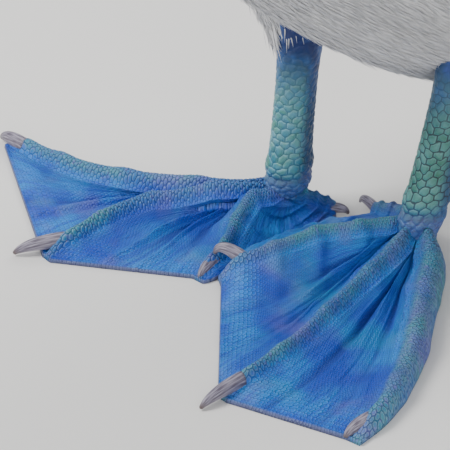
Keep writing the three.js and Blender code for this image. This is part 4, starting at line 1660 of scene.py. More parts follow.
@dataclass
class Thigh:
    """Feathered thigh that narrows to the top of the bare leg."""

    plan: LegPlan
    columns: int = 48
    rows: int = 40

    def shape(self, share: Array, turn: Array, grow: float = 0.0) -> Array:
        """Points on the thigh.

        Args:
            share: From the hip to the heel.
            turn: Share of a turn.
            grow: Distance outwards.

        Returns:
            Points in mm.
        """
        side = 1.0 if self.plan.side is Side.LEFT else -1.0
        heel = np.array(self.plan.heel)
        hip = np.array([side * 33.0, heel[1] * 0.35 + 4.0, 116.0])
        foot = heel + np.array([side * 2.0, 1.5, 10.0])
        centre = between(hip, foot, share[:, None])
        radius = blend((20, 25, 25, 18.5, 11.5), share) + grow
        angle = turn * 2 * np.pi
        points = centre.copy()
        points[:, 0] += np.cos(angle) * radius * 0.72
        points[:, 1] += np.sin(angle) * radius
        front = np.clip(-np.sin(angle + 0.5), 0, 1) ** 1.5 * smooth(0.35, 1.0, share)
        points[:, 1] -= front * FRONT_TUFT[0]
        points[:, 2] -= front * FRONT_TUFT[1]
        return points

    def build(self, material: Material) -> Piece:
        """Makes the thigh's skin.

        Args:
            material: Its plumage finish.

        Returns:
            The piece.
        """
        name = f"thigh_skin_{self.plan.side.value}"
        piece = tube_skin(name, self.shape, (self.columns, self.rows), UNDER_DOWN, WHITE, material)
        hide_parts(f"thigh_{self.plan.side.value}")
        return piece


# Feathers
# Share along and half width of each ring of a small feather and of a large one
SMALL_RINGS = ((0.0, 0.35), (0.5, 1.0), (1.0, 0.07))
LARGE_RINGS = tuple((ring / 14, 1.0) for ring in range(15))


class Vane:
    """One closed vane, copied many times into joined meshes."""

    def __init__(self, sides: int = 3, rings: Sequence[tuple[float, float]] = SMALL_RINGS) -> None:
        """Makes the vane from a short rod.

        Args:
            sides: Points in one ring.
            rings: Share along and half width of each ring.
        """
        bm = bmesh.new()
        ring = bmesh.ops.create_circle(bm, cap_ends=True, segments=sides, radius=rings[0][1])["verts"]
        edges = list({e for v in ring for e in v.link_edges})
        for along, half in rings[1:]:
            made = bmesh.ops.extrude_edge_only(bm, edges=edges)["geom"]
            edges = [g for g in made if isinstance(g, bmesh.types.BMEdge)]
            for v in (g for g in made if isinstance(g, bmesh.types.BMVert)):
                x, y = v.co.xy.normalized() * half
                v.co = Vector((x, y, along))
        bmesh.ops.contextual_create(bm, geom=edges)
        bmesh.ops.triangulate(bm, faces=bm.faces)
        bmesh.ops.recalc_face_normals(bm, faces=bm.faces)
        self.verts = np.array([v.co for v in bm.verts])
        self.faces = np.array([[v.index for v in f.verts] for f in bm.faces])
        bm.free()


def joined_vanes(
    name: str, vane: Vane, points: Array, tint: Array, spots: Array, patch: Array
) -> bpy.types.Mesh:
    """Makes one mesh of many placed copies of a vane.

    Args:
        name: Name of the mesh.
        vane: The vane that is copied.
        points: Placed points in mm, one block of the vane's points for each copy.
        tint: Colours of the points.
        spots: Place of each copy's root on an unwrap of the skin.
        patch: Half width and length of a copy on that unwrap.

    Returns:
        The mesh, with its colours and its two UV maps.
    """
    size = len(vane.verts)
    count = len(points) // size
    faces = (vane.faces[None] + (np.arange(count) * size)[:, None, None]).reshape(-1, 3)
    mesh = bpy.data.meshes.new(name)
    mesh.vertices.add(len(points))
    mesh.vertices.foreach_set("co", to_frame(points).astype(np.float32).ravel())
    mesh.loops.add(faces.size)
    mesh.loops.foreach_set("vertex_index", faces.ravel().astype(np.int32))
    mesh.polygons.add(len(faces))
    mesh.polygons.foreach_set("loop_start", (np.arange(len(faces)) * 3).astype(np.int32))
    mesh.update(calc_edges=True)
    mesh.validate()
    layer = mesh.attributes.new("Coat", "FLOAT_COLOR", "POINT")
    layer.data.foreach_set("color", np.clip(tint, 0, 1).astype(np.float32).ravel())
    flat = faces.ravel()
    across, along = vane.verts[flat % size, 0], vane.verts[flat % size, 2]
    shape = np.stack([across * 0.5 + 0.5, along], axis=1)
    place = spots[flat // size] + np.stack([across, along - 0.5], axis=1) * patch
    for label, pairs in (("Vane", shape), ("OFBake", np.clip(place, 0, 1))):
        layer = mesh.uv_layers.new(name=label)
        layer.data.foreach_set("uv", pairs.astype(np.float32).ravel())
    mesh.uv_layers.active = mesh.uv_layers["OFBake"]
    return mesh


# Step in shares over which a form's slope is taken
SLOPE_STEP = 0.01
# Half width and length of a feather's patch on the unwrap, on the body and on wings and tail
SMALL_PATCH = np.array([0.0015, 0.0015])
LARGE_PATCH = np.array([0.0015, 0.003])


@dataclass
class Coat:
    """Many small feathers joined into one mesh, with the ranges of their sizes."""

    name: str
    seed: int
    lengths: tuple
    widths: tuple
    rises: tuple
    thick: float = 0.2
    template: Vane = field(default_factory=Vane)

    def build(
        self,
        rng: np.random.Generator,
        root: Array,
        normal: Array,
        lie: Array,
        colour: Array,
        unwrap: Array,
        material: Material,
        longer: Array | float = 1.0,
    ) -> Piece:
        """Places one vane for each root.

        Args:
            rng: Random source of the sizes.
            root: Roots in mm.
            normal: Outward normals.
            lie: Directions of the feathers' lie.
            colour: Colours.
            unwrap: Places of the roots on the skin's unwrap.
            material: The finish.
            longer: What the lengths are multiplied by.

        Returns:
            The piece.
        """
        count = len(root)
        length = (rng.uniform(*self.lengths, count) * longer)[:, None, None]
        width = rng.uniform(*self.widths, count)[:, None, None]
        rise = rng.uniform(*self.rises, count)[:, None, None]
        rng = np.random.default_rng(self.seed)
        base = self.template.verts
        x, y, z = (base[:, k][None, :, None] for k in range(3))
        sweep = rng.normal(0, 0.10, count)[:, None, None] * z**2
        bowed = rise * (z - 0.9 * z**2.2)
        lie, normal = lie[:, None, :], normal[:, None, :]
        points = root[:, None, :] + lie * z * length + normal * (bowed * length + y * self.thick)
        points = points + unit(np.cross(lie, normal)) * (x * width / 2 + sweep * length)
        points = points.reshape(-1, 3)
        points[:, 2] = np.maximum(points[:, 2], 0.5)
        owner = np.repeat(np.arange(count), len(base))
        shade = (0.93 + 0.09 * np.tile(base[:, 2], count))[:, None]
        tint = np.clip(colour[owner] * shade, 0, 1)
        tint[:, 3] = 1.0
        mesh = joined_vanes(self.name, self.template, points, tint, unwrap, SMALL_PATCH)
        return make_object(self.name, mesh, material)


def slope_along(shape: Callable[..., Array], share: Array, turn: Array, grow: float) -> Array:
    """Direction in which a form runs on along its length, not of length one.

    Args:
        shape: Gives points of the form by share, turn and distance outwards.
        share: Shares along it.
        turn: Shares of a turn.
        grow: Distance outwards in mm.

    Returns:
        Directions.
    """
    ahead = shape(np.clip(share + SLOPE_STEP, 0, 1), turn, grow)
    return ahead - shape(np.clip(share - SLOPE_STEP, 0, 1), turn, grow)


def unwrap_place(turn: Array, share: Array) -> Array:
    """Places of roots on a form's unwrap, a little clear of its edges.

    Args:
        turn: Shares of a turn.
        share: Shares along.

    Returns:
        Pairs of shares.
    """
    return np.stack([turn % 1.0, share], axis=1) * 0.98 + 0.01


def scatter(
    rng: np.random.Generator, rows: int, turns: int, lows: tuple, highs: tuple
) -> tuple[Array, Array]:
    """Jittered grid of places on a skin's unwrap.

    Args:
        rng: Random source.
        rows: Places along.
        turns: Places round.
        lows: Lowest row and turn.
        highs: Highest row and turn.

    Returns:
        Rows and turns.
    """
    i, j = np.meshgrid(np.arange(rows), np.arange(turns), indexing="ij")
    a = (i + 0.5 * (j % 2) + rng.uniform(-0.3, 0.3, i.shape)) / rows
    b = (j + rng.uniform(-0.3, 0.3, i.shape)) / turns
    return between(lows[0], highs[0], a).ravel(), between(lows[1], highs[1], b).ravel()


@dataclass(frozen=True)
class CoatPlan:
    """Place, fineness and seed of one coat: feathers along and round, and their size in mm."""

    name: str
    seed: int
    rows: int
    turns: int
    lows: tuple
    highs: tuple
    length: float
    width: float
    rise: float


# Lows and highs are a share from tail root to face and a share of a turn from the back
BODY_COATS = (
    CoatPlan("vent_feathers", 6, 64, 80, (0.0, 0.0), (0.11, 1.0), 12.0, 2.0, 0.08),
    CoatPlan("belly_feathers_1", 1, 100, 116, (0.10, 0.27), (0.25, 0.73), 8.5, 0.8, 0.02),
    CoatPlan("belly_feathers_2", 5, 100, 116, (0.25, 0.27), (0.40, 0.73), 8.5, 0.8, 0.02),
    CoatPlan("back_feathers", 7, 80, 70, (0.10, -0.28), (0.50, 0.28), 17.0, 4.4, 0.08),
    CoatPlan("breast_feathers", 2, 100, 116, (0.39, 0.2), (0.62, 0.8), 9.0, 1.3, 0.03),
    CoatPlan("neck_feathers", 3, 106, 100, (0.60, 0.0), (0.84, 1.0), 8.0, 1.5, 0.09),
    CoatPlan("nape_feathers", 8, 50, 60, (0.49, -0.22), (0.62, 0.22), 11.0, 2.4, 0.12),
    CoatPlan("head_feathers", 4, 110, 104, (0.80, 0.0), (1.0, 1.0), 4.2, 0.95, 0.1),
)


@dataclass
class BodyPlumage:
    """Feathers of body, neck and head, in coats of different fineness."""

    finish: Material

    def coat(self, plan: CoatPlan) -> None:
        """Makes one coat.

        Args:
            plan: Its place and the size of its feathers.
        """
        rng = np.random.default_rng(plan.seed)
        row, turn = scatter(rng, plan.rows, plan.turns, plan.lows, plan.highs)
        grow = np.full(len(row), -1.4)
        root, normal, lie = BodyForm.frame(row, turn, grow)
        keep = row < face_edge(turn)
        for eye_side in (1.0, -1.0):
            eye = EYE_HOME * np.array([eye_side, 1, 1])
            keep &= np.linalg.norm(root - eye, axis=1) > EYE_RADIUS + 3.2
        row, turn, root, normal, lie = row[keep], turn[keep], root[keep], normal[keep], lie[keep]
        noise = np.clip(rng.normal(0, 0.45, len(row)), -1, 1)
        lie = unit(lie + rng.normal(0, 0.05, lie.shape))
        colour = body_colour(row, turn, noise)
        lengths = (0.8 * plan.length, 1.2 * plan.length)
        widths = (0.8 * plan.width, 1.2 * plan.width)
        rises = (0.7 * plan.rise, 1.4 * plan.rise)
        coat = Coat(plan.name, plan.seed, lengths, widths, rises, 0.06 + 0.06 * plan.width)
        piece = coat.build(rng, root, normal, lie, colour, unwrap_place(turn, row), self.finish)
        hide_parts("torso")

    def build(self) -> None:
        """Makes all coats."""
        for plan in BODY_COATS:
            self.coat(plan)


@dataclass
class ThighPlumage:
    """Soft feathers that droop over the top of a bare leg."""

    plan: LegPlan
    finish: Material
    rows: int = 66
    turns: int = 100

    def build(self) -> None:
        """Makes the coat."""
        left = self.plan.side is Side.LEFT
        rng = np.random.default_rng(50 + left)
        thigh = Thigh(self.plan)
        share, turn = scatter(rng, self.rows, self.turns, (0.02, 0.0), (0.97, 1.0))
        root = thigh.shape(share, turn, UNDER_DOWN)
        lie = slope_along(thigh.shape, share, turn, UNDER_DOWN)
        across = thigh.shape(share, turn + SLOPE_STEP, UNDER_DOWN)
        across -= thigh.shape(share, turn - SLOPE_STEP, UNDER_DOWN)
        normal = unit(np.cross(across, lie))
        centre = thigh.shape(share, turn, -30.0)
        normal *= np.sign(np.sum(normal * (root - centre), axis=1, keepdims=True))
        lie = unit(unit(lie) + rng.normal(0, 0.12, lie.shape))
        noise = np.clip(rng.normal(0, 0.3, len(root)), -1, 1)
        colour = tone(WHITE, GREY_WHITE, 0.1 + noise * 0.4)
        longer = 1 + 0.5 * smooth(0.7, 1.0, share)
        name = f"thigh_feathers_{self.plan.side.value}"
        coat = Coat(name, 60 + left, (5.0, 8.0), (0.5, 1.0), (0.02, 0.14), 0.15)
        piece = coat.build(rng, root, normal, lie, colour, unwrap_place(turn, share), self.finish, longer)
        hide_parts(f"thigh_{self.plan.side.value}")


# Wings and tail
class LargeVane(Vane):
    """Lens-shaped vane with many rings, bent over a surface."""

    def outline(self, along: Array) -> Array:
        """Half width of the vane as a share of its widest.

        Args:
            along: Shares of its length.

        Returns:
            Shares of the width.
        """
        tip = np.sqrt(np.clip(1.0 - np.clip((along - 0.55) / 0.46, 0, 1) ** 2.8, 0.004, 1))
        return np.minimum(1.0, 0.45 + 1.9 * along) * tip

    def join(
        self, name: str, blocks: list, tints: list, bakes: list, material: Material
    ) -> Piece:
        """Makes one piece of many placed copies.

        Args:
            name: Name of the piece.
            blocks: Placed points of each copy.
            tints: Colours of those points.
            bakes: Place of each copy on an unwrap.
            material: The finish.

        Returns:
            The piece.
        """
        points, tint = np.concatenate(blocks), np.concatenate(tints)
        mesh = joined_vanes(name, self, points, tint, np.array(bakes), LARGE_PATCH)
        return make_object(name, mesh, material)

    def paint(self, along: Array, across: Array, base: Array, fringe: Array, fringe_share: float) -> Array:
        """Colours of one vane's points: a pale fringe, and a little darker towards the root.

        Args:
            along: Shares of its length.
            across: Place across, from -1 to 1.
            base: Its main colour.
            fringe: Colour of its edge.
            fringe_share: How strongly the fringe shows.

        Returns:
            Colours.
        """
        rim = np.maximum(smooth(0.72, 1.0, np.abs(across)) * 0.6, smooth(0.86, 0.99, along))
        tint = tone(base[None] * (0.92 + 0.16 * along[:, None]), fringe, rim * fringe_share)
        tint[:, 3] = 1.0
        return tint


@dataclass(frozen=True)
class Tier:
    """One tier of wing feathers, in rows of the guide surface and degrees from the back."""

    name: str
    count: int
    root_rows: tuple
    root_degrees: tuple
    tip_rows: tuple
    tip_degrees: tuple
    width: float
    out: tuple
    node: str
    fringe: float = 0.35


TIERS = (
    Tier("primary_feathers", 8, (7.3, 8.4), (84, 50), (11.4, 13), (66, 42), 19, (1.6, 4.4), "primaries",
         0.12),
    Tier("secondary_feathers", 12, (5, 6.6), (88, 26), (8.2, 9.6), (86, 30), 21, (4.4, 6.6), "wing", 0.3),
    Tier("greater_coverts", 12, (3.5, 5), (90, 26), (5.9, 7.2), (88, 28), 20, (4.8, 7.4), "wing", 0.5),
    Tier("median_coverts", 12, (2.6, 3.8), (90, 28), (4.5, 5.7), (90, 30), 17, (5, 7.8), "wing", 0.6),
    Tier("lesser_coverts_3", 12, (2, 3), (88, 30), (3.6, 4.7), (90, 32), 15, (5, 8), "wing", 0.6),
    Tier("lesser_coverts_2", 11, (1.5, 2.3), (84, 32), (2.8, 3.7), (88, 34), 13, (4.6, 8), "wing", 0.6),
    Tier("lesser_coverts_1", 10, (1.1, 1.7), (78, 34), (2.1, 2.9), (84, 36), 12, (3.6, 7.6), "wing", 0.6),
    Tier("scapulars_2", 6, (3, 4.6), (32, 18), (5, 7.4), (30, 16), 21, (4.6, 8.6), "wing", 0.5),
    Tier("scapulars_1", 6, (1.4, 2.8), (34, 20), (3.2, 4.8), (32, 18), 19, (4.4, 8.6), "wing", 0.5),
)
GUIDE_ROWS = len(GUIDE) - 1
WING_BROWN = np.array(rgb(70, 54, 44))
WING_DARK = np.array(rgb(44, 36, 32))
FRINGE = np.array(rgb(150, 130, 110))


# First and last row of the guide under the folded arm's pad
PAD_ROWS = (0.9, 12.0)
# Rows over which the pad tapers, and its thickness in mm at the arm and behind it
PAD_TAPER = 12.2
PAD_THICK = 5.2
PAD_THIN = 1.8
# Degrees from the back at each row of the guide: lower and upper edge of the folded arm's pad
PAD_LOW = (72, 90, 96, 97, 96, 95, 94, 94, 94, 94, 93, 91, 89, 86)
PAD_HIGH = (44, 26, 14, 11, 10, 10, 11, 14, 24, 36, 46, 50, 50, 50)


def pad_edges(row: Array) -> tuple[Array, Array]:
    """Lower and upper edge of the wing's pad.

    Args:
        row: Rows of the guide.

    Returns:
        Degrees from the back's middle line.
    """
    share = row / (len(PAD_LOW) - 1.0)
    return blend(PAD_LOW, share), blend(PAD_HIGH, share)


def bake_share(place: int, count: int) -> float:
    """Spreads the feathers of a row evenly over an unwrap, clear of its edges.

    Args:
        place: Number of the feather.
        count: Feathers in the row.

    Returns:
        Share of the unwrap.
    """
    return 0.06 + 0.88 * (place + 0.5) / count


@dataclass
class Wing:
    """One folded wing: a skin over its arm and tiers of overlapping feathers."""

    side: Side
    finish: Material
    vane: LargeVane
    small_finish: Material

    def surface(self, row: Array, degrees: Array, out: Array) -> Array:
        """Points over the wing's guide surface.

        Args:
            row: Row of the guide, from the shoulder.
            degrees: Degrees from the back's middle line.
            out: Height over it in mm.

        Returns:
            Points in mm.
        """
        turn = degrees / 360.0
        points = WingForm.sample(row / GUIDE_ROWS, turn, out)
        if self.side is Side.RIGHT:
            points[:, 0] *= -1.0
        return points

    def skin(self) -> None:
        """Makes the pad under the feathers."""
        sheet = Sheet(60, 90)
        u, v = sheet.u, sheet.v
        row = between(*PAD_ROWS, v)
        low, high = pad_edges(row)
        outer = u <= 0.5
        share = np.where(outer, u * 2.0, 2.0 - u * 2.0)
        share = np.clip(share, 0, 1)
        t = (row - PAD_ROWS[0]) / PAD_TAPER
        thick = between(PAD_THICK, PAD_THIN, smooth(6.2, 7.4, row))
        thick *= np.minimum(1, 0.35 + 4 * t) * np.minimum(1, 0.2 + 1.6 * (1.05 - t))
        thick *= np.sin(np.pi * share) ** 0.45 * np.sin(np.pi * np.clip(v, 0.0, 1.0)) ** 0.12
        out = np.where(outer, 0.4 + thick * 0.9, -0.6)
        sheet.place(self.surface(row, between(high, low, share), out))
        sheet.plain_coat(WING_BROWN)
        side = self.side.value
        piece = sheet.finish(f"wing_skin_{side}", self.finish, 2e-5)
        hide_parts(f"wing_{side}", f"primaries_{side}")

    def marginal(self) -> None:
        """Makes the small feathers over the front of the arm."""
        rng = np.random.default_rng(140 + (self.side is Side.LEFT))
        along, share = scatter(rng, 46, 50, (0.0, 0.03), (1.0, 0.97))
        row = 0.95 + 1.9 * along
        low, high = pad_edges(row)
        degrees = between(high, low, share)
        out = 2.0 + 4.6 * smooth(0.0, 0.3, along) * np.sin(np.pi * share) ** 0.4
        root = self.surface(row, degrees, out)
        lie = unit(self.surface(row + 0.1, degrees, out) - root)
        normal = unit(self.surface(row, degrees, out + 2.0) - root)
        colour = WING_BROWN[None] * (0.95 + 0.35 * rng.uniform(size=len(root)))[:, None]
        unwrap = np.stack([share, along], axis=1) * 0.96 + 0.02
        name = f"marginal_coverts_{self.side.value}"
        coat = Coat(name, 141, (9, 13), (4.0, 5.6), (0.03, 0.08), 0.3)
        piece = coat.build(rng, root, normal, lie, colour, unwrap, self.small_finish)
        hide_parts(f"wing_{self.side.value}")

    def build(self) -> None:
        """Makes the skin and all tiers."""
        self.skin()
        self.marginal()
        side = self.side.value
        z = self.vane.verts[:, 2]
        x = self.vane.verts[:, 0]
        y = self.vane.verts[:, 1]
        for number, tier in enumerate(TIERS):
            rng = np.random.default_rng(100 + number * 7 + (self.side is Side.LEFT))
            blocks, tints, bakes = [], [], []
            for i in range(tier.count):
                share = i / (tier.count - 1)
                jitter = rng.normal(0, 1.0, 4)
                start = between(*tier.root_rows, share)
                row = between(start, between(*tier.tip_rows, share) + 0.1 * jitter[0], z)
                last = between(*tier.tip_degrees, share) + 0.6 * jitter[1]
                degrees = between(between(*tier.root_degrees, share), last, z)
                rise = between(*tier.out, z**0.6)
                wide = self.vane.outline(z) * tier.width / 2
                step = self.surface(row, degrees + 1.0, rise) - self.surface(row, degrees - 1.0, rise)
                per_degree = np.linalg.norm(step, axis=1) / 2.0
                tilt = 1.1 * x * smooth(0.0, 0.4, z)
                cup = -0.5 * x**2
                out = rise + tilt + cup + y * 0.32 + 0.25 * jitter[2]
                blocks.append(self.surface(row, degrees + x * wide / per_degree, out))
                shade = 0.85 + 0.3 * rng.uniform()
                base = WING_DARK if tier.node == "primaries" else WING_BROWN
                tints.append(self.vane.paint(z, x, base * shade, FRINGE, tier.fringe))
                bakes.append((bake_share(i, tier.count), bake_share(number, len(TIERS))))
            name = f"{tier.name}_{side}"
            piece = self.vane.join(name, blocks, tints, bakes, self.finish)
            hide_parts(f"{tier.node}_{side}")


@dataclass
class Tail:
    """Wedge tail of stiff feathers in layers from the middle pair down."""

    finish: Material
    vane: LargeVane
    feathers: int = 12
    length: float = 205.0
    slope: float = math.radians(14)
    base: tuple = (126.0, 83.0)
    layer: float = 1.35
    width: float = 23.0
    fringe: float = 0.35
    under_coverts: float = -1.5

    def place(self, run: Array, left: Array, lift: Array) -> Array:
        """Points from distance along the tail, to the left and above it.

        Args:
            run: Distance from the tail's base.
            left: Distance to the left.
            lift: Height over the tail's line.

        Returns:
            Points in mm.
        """
        c, s = math.cos(self.slope), math.sin(self.slope)
        base_back, base_up = self.base
        return np.stack([left, base_back + c * run + s * lift, base_up - s * run + c * lift], axis=1)

    def build(self) -> None:
        """Makes the root, the coverts and the feathers."""
        x, y, z = self.vane.verts.T
        rng = np.random.default_rng(77)
        blocks, tints, bakes = [], [], []
        white = np.array(rgb(206, 198, 188))
        for i in range(self.feathers):
            fan = (i - (self.feathers - 1) / 2) / ((self.feathers - 1) / 2)
            length = self.length * (1 - 0.4 * abs(fan) ** 1.3)
            level = -abs(fan) * ((self.feathers - 1) / 2) * self.layer + (0.4 if fan > 0 else -0.4)
            run = 4 + length * z
            left = fan * 12 + math.sin(fan * 0.13) * run
            wide = self.vane.outline(z) * self.width / 2
            lift = level * np.minimum(1, 0.45 + run / 70) + 5 + y * 0.4 + 0.7 * (1 - x**2) - 0.6
            blocks.append(self.place(run, left + x * wide, lift))
            base = WING_BROWN * (0.9 + 0.3 * rng.uniform())
            centre = max(0.0, 1.0 - abs(fan) * 2.6)
            base = base + (white - base) * centre * 0.75
            tints.append(self.vane.paint(z, x, base, FRINGE, self.fringe))
            bakes.append((bake_share(i, self.feathers), 0.5))
        piece = self.vane.join("tail_feathers", blocks, tints, bakes, self.finish)
        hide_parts("tail")
        shape = self.root_form
        piece = tube_skin("tail_root_skin", shape, (48, 40), self.under_coverts, GREY_WHITE, self.finish)
        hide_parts("tail")
        self.coverts()

    def root_form(self, share: Array, turn: Array, grow: float) -> Array:
        """Points on the tail's root.

        Args:
            share: Share along it.
            turn: Share of a turn from the top.
            grow: Distance outwards.

        Returns:
            Points in mm.
        """
        angle = turn * 2 * np.pi
        left = np.sin(angle) * (blend((19, 24, 25, 20), share) + grow)
        lift = np.cos(angle) * (blend((17, 11, 7, 3), share) + grow) - 1.5 * share
        return self.place(-16 + 92 * share, left, lift)

    def coverts(self) -> None:
        """Makes the small feathers over and under the tail's root."""
        rng = np.random.default_rng(78)
        share, turn = scatter(rng, 60, 70, (0.0, 0.0), (0.97, 1.0))
        root = self.root_form(share, turn, self.under_coverts)
        lie = slope_along(self.root_form, share, turn, self.under_coverts)
        normal = unit(root - self.root_form(share, turn, -8.0) + 1e-6)
        noise = np.clip(rng.normal(0, 0.4, len(root)), -1, 1)
        pale = tone(WHITE, GREY_WHITE, 0.5 + noise)
        brown = tone(BROWN, WHITE, 0.35 + noise)
        colour = tone(pale, brown, np.cos(turn * 2 * np.pi) * 3)
        lie = unit(unit(lie) + rng.normal(0, 0.06, lie.shape))
        coat = Coat("tail_coverts", 79, (13, 20), (3.0, 4.6), (0.04, 0.1))
        piece = coat.build(rng, root, normal, lie, colour, unwrap_place(turn, share), self.finish)
        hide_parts("tail")


# Head
@dataclass
class Bill:
    """Dagger bill in two halves that part along the mouth."""

    length: float = 103.0
    depth: float = 33.0
    width: float = 25.0
    drop: float = 17.0
    buried: float = 3.0
    lower_share: float = 0.955
    face: float = -144.0
    level: float = 429.0
    mouth: float = -4.5
    mouth_gap: float = 0.2
    groove_at: float = 0.42
    groove_spread: float = 0.12
    columns: int = 72
    rows: int = 150

    def half(self, upper: bool, material: Material) -> None:
        """Makes one half of the bill.

        Args:
            upper: True for the upper half.
            material: The horn.
        """
        sheet = Sheet(self.columns, self.rows)
        u, v = sheet.u, sheet.v
        length = self.length if upper else self.length * self.lower_share
        forward = -self.buried + (length + self.buried) * v
        share = np.clip(forward / self.length, 0, 1)
        taper = 1 - 0.42 * share - 0.5 * share**3
        deep = np.maximum(self.depth / 2 * taper, 0.9)
        wide = np.maximum(self.width / 2 * (1 - 0.62 * share - 0.3 * share**3), 0.8)
        fall = self.drop * (0.45 * share + 0.55 * share**4)
        mouth = self.mouth - self.drop * (0.36 * share + 0.62 * share**4)
        angle = 2 * np.pi * u
        x = np.sin(angle) * wide
        z = -fall + np.cos(angle) * deep * np.where(np.cos(angle) > 0, 1.0, 0.82)
        groove = bell(np.cos(angle), self.groove_at, self.groove_spread)
        groove *= smooth(0.02, 0.1, share) * (1 - smooth(0.55, 0.9, share))
        x *= 1 - 0.08 * groove
        teeth = 0.064 * np.abs(np.sin(forward * 1.3)) * smooth(0.2, 0.4, share)
        low = mouth + self.mouth_gap + teeth
        z = np.maximum(z, low) if upper else np.minimum(z, mouth - self.mouth_gap)
        points = np.stack([x, self.face - forward, self.level + z], axis=1)
        sheet.close_ends(points)
        sheet.place(points)
        sheet.uv("Along", u, v)
        name = "upper" if upper else "lower"
        piece = sheet.finish(f"horn_bill_{name}", material)
        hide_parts(f"bill_{name}")

    def build(self, material: Material) -> None:
        """Makes both halves.

        Args:
            material: The horn.
        """
        self.half(True, material)
        self.half(False, material)


@dataclass
class Eye:
    """One eye with its ring of bare skin."""

    side: Side
    radius: float = EYE_RADIUS
    turn: float = -0.3
    ring_radius: float = 6.7
    ring_thickness: float = 1.35
    beads: int = 17

    def axes(self) -> tuple[Array, Array, Array, Array]:
        """Centre of the eye, its outward axis and two directions across it.

        Returns:
            The four vectors.
        """
        sign = 1.0 if self.side is Side.LEFT else -1.0
        centre = EYE_HOME * np.array([sign, 1, 1])
        axis = np.array([sign * math.cos(self.turn), math.sin(self.turn), 0.0])
        up = np.array([0.0, 0.0, 1.0])
        return centre, axis, np.cross(up, axis), up

    def build(self, wet: Material, lid: Material) -> None:
        """Makes the eyeball and the lids.

        Args:
            wet: The eye's finish.
            lid: The lids' finish.
        """
        centre, axis, across, up = self.axes()
        sheet = Sheet(48, 48)
        polar, round_ = sheet.v * np.pi, sheet.u * 2 * np.pi
        ring = np.sin(polar)[:, None] * (np.cos(round_)[:, None] * across + np.sin(round_)[:, None] * up)
        bulge = 1.0 + 0.05 * bell(polar, 0, 0.5)
        sheet.place(centre + self.radius * bulge[:, None] * (np.cos(polar)[:, None] * axis + ring))
        sheet.uv("Along", sheet.u, sheet.v)
        piece = sheet.finish(f"eyeball_{self.side.value}", wet)
        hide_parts(f"eye_{self.side.value}")
        sheet = Sheet(96, 24)
        around, tube = sheet.u * 2 * np.pi, sheet.v * 2 * np.pi
        major = self.ring_radius * (1 - 0.10 * np.abs(np.sin(around)) ** 3)
        minor = self.ring_thickness + 0.08 * np.sin(around * self.beads)
        out = np.cos(around)[:, None] * across + np.sin(around)[:, None] * up
        middle = centre + axis * self.radius * 0.56 + out * major[:, None]
        sheet.place(middle + minor[:, None] * (np.cos(tube)[:, None] * out + np.sin(tube)[:, None] * axis))
        piece = sheet.finish(f"eyelids_{self.side.value}", lid)
        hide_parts("head")


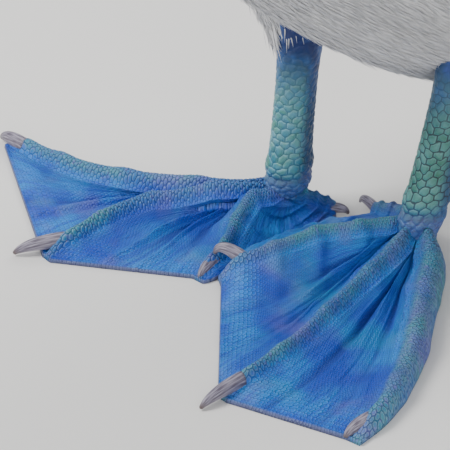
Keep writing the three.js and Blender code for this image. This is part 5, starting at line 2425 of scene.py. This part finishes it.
# Camera, light and floor
@dataclass(frozen=True)
class Studio:
    """Pale floor, soft light and the photograph's camera."""

    camera_at: tuple = (827.97, -524.40, 688.29)
    looks_at: tuple = (-23.32, -32.91, 0.0)
    lens: float = 307.2
    floor: Colour = rgb(236, 234, 230)

    def build(self) -> None:
        """Makes the floor, the lights and the camera."""
        scene = bpy.context.scene
        bm = bmesh.new()
        bmesh.ops.create_grid(bm, x_segments=1, y_segments=1, size=6.0)
        mesh = bpy.data.meshes.new("floor")
        bm.to_mesh(mesh)
        bm.free()
        floor = bpy.data.objects.new("floor", mesh)
        scene.collection.objects.link(floor)
        mesh.materials.append(PlainFinish("floor", self.floor, self.floor, 0.9, 3.0).build())
        world = bpy.data.worlds.new("world")
        world.use_nodes = True
        world.node_tree.nodes["Background"].inputs[0].default_value = (0.92, 0.95, 1.0, 1.0)
        world.node_tree.nodes["Background"].inputs[1].default_value = 0.55
        scene.world = world
        for name, place, size, power in (
            ("key", (-0.7, -1.5, 2.2), 1.1, 62.0),
            ("fill", (1.8, -0.9, 1.2), 1.6, 16.0),
            ("back", (-0.6, 1.6, 1.5), 1.2, 26.0),
        ):
            data = bpy.data.lights.new(name, "AREA")
            data.size = size
            data.energy = power
            lamp = bpy.data.objects.new(name, data)
            lamp.location = place
            lamp.rotation_euler = (Vector((0, 0, 0.1)) - Vector(place)).to_track_quat("-Z", "Y").to_euler()
            scene.collection.objects.link(lamp)
        data = bpy.data.cameras.new("camera")
        data.lens = self.lens
        data.sensor_width = 36.0
        data.clip_end = 50.0
        camera = bpy.data.objects.new("camera", data)
        place = Vector(to_frame(np.array([self.camera_at]))[0])
        look = Vector(to_frame(np.array([self.looks_at]))[0])
        camera.location = place
        camera.rotation_euler = (look - place).to_track_quat("-Z", "Y").to_euler()
        scene.collection.objects.link(camera)
        scene.camera = camera


def main() -> None:
    """Builds the bird piece by piece."""
    foot_skin = FootFinish().build()
    right_leg = LegFinish(
        "leg_skin_r",
        scale=rgb(56, 132, 150),
        scale_other=rgb(70, 138, 122),
        groove=rgb(34, 62, 90),
        rim=rgb(146, 198, 208),
        # Colour of the shade painted down one side of the leg
        side=rgb(16, 36, 92),
        top=rgb(50, 92, 158),
        groove_share=0.5,
        groove_width=0.075,
    ).build()
    left_leg = LegFinish(
        "leg_skin_l",
        scale=rgb(56, 116, 98),
        scale_other=rgb(70, 130, 120),
        groove=rgb(32, 32, 50),
        rim=rgb(116, 176, 178),
        # Colour of the shade painted down one side of the leg
        side=rgb(26, 66, 114),
        top=rgb(40, 70, 148),
        groove_share=0.85,
        groove_width=0.105,
    ).build()
    claw_horn = HornFinish("claw_horn", rgb(88, 80, 96), rgb(168, 162, 178), rgb(96, 82, 80)).build()
    plumage = PlumageFinish("plumage").build()
    for plan, leg in ((LEFT_LEG, left_leg), (RIGHT_LEG, right_leg)):
        Foot(plan).build(foot_skin)
        Tarsus(plan).build(leg)
        Thigh(plan).build(plumage)
        ThighPlumage(plan, plumage).build()
        for order in range(4):
            Claw(plan, order).build(claw_horn)
    BodySkin().build(plumage)
    BodyPlumage(plumage).build()
    large = LargeVane(12, LARGE_RINGS)
    flight = PlumageFinish("flight_plumage", 0.75, 44.0, 0.3, 0.55).build()
    wet_eye = EyeFinish().build()
    lid_skin = PlainFinish("lid_skin", rgb(74, 92, 112), rgb(98, 118, 138), 0.55, 900.0).build()
    for side in Side:
        Wing(side, flight, large, plumage).build()
        Eye(side).build(wet_eye, lid_skin)
    Tail(flight, large).build()
    Bill().build(HornFinish("bill_horn", rgb(96, 116, 128), rgb(134, 152, 160), rgb(78, 92, 102)).build())
    Studio().build()


if __name__ == "__main__":
    main()
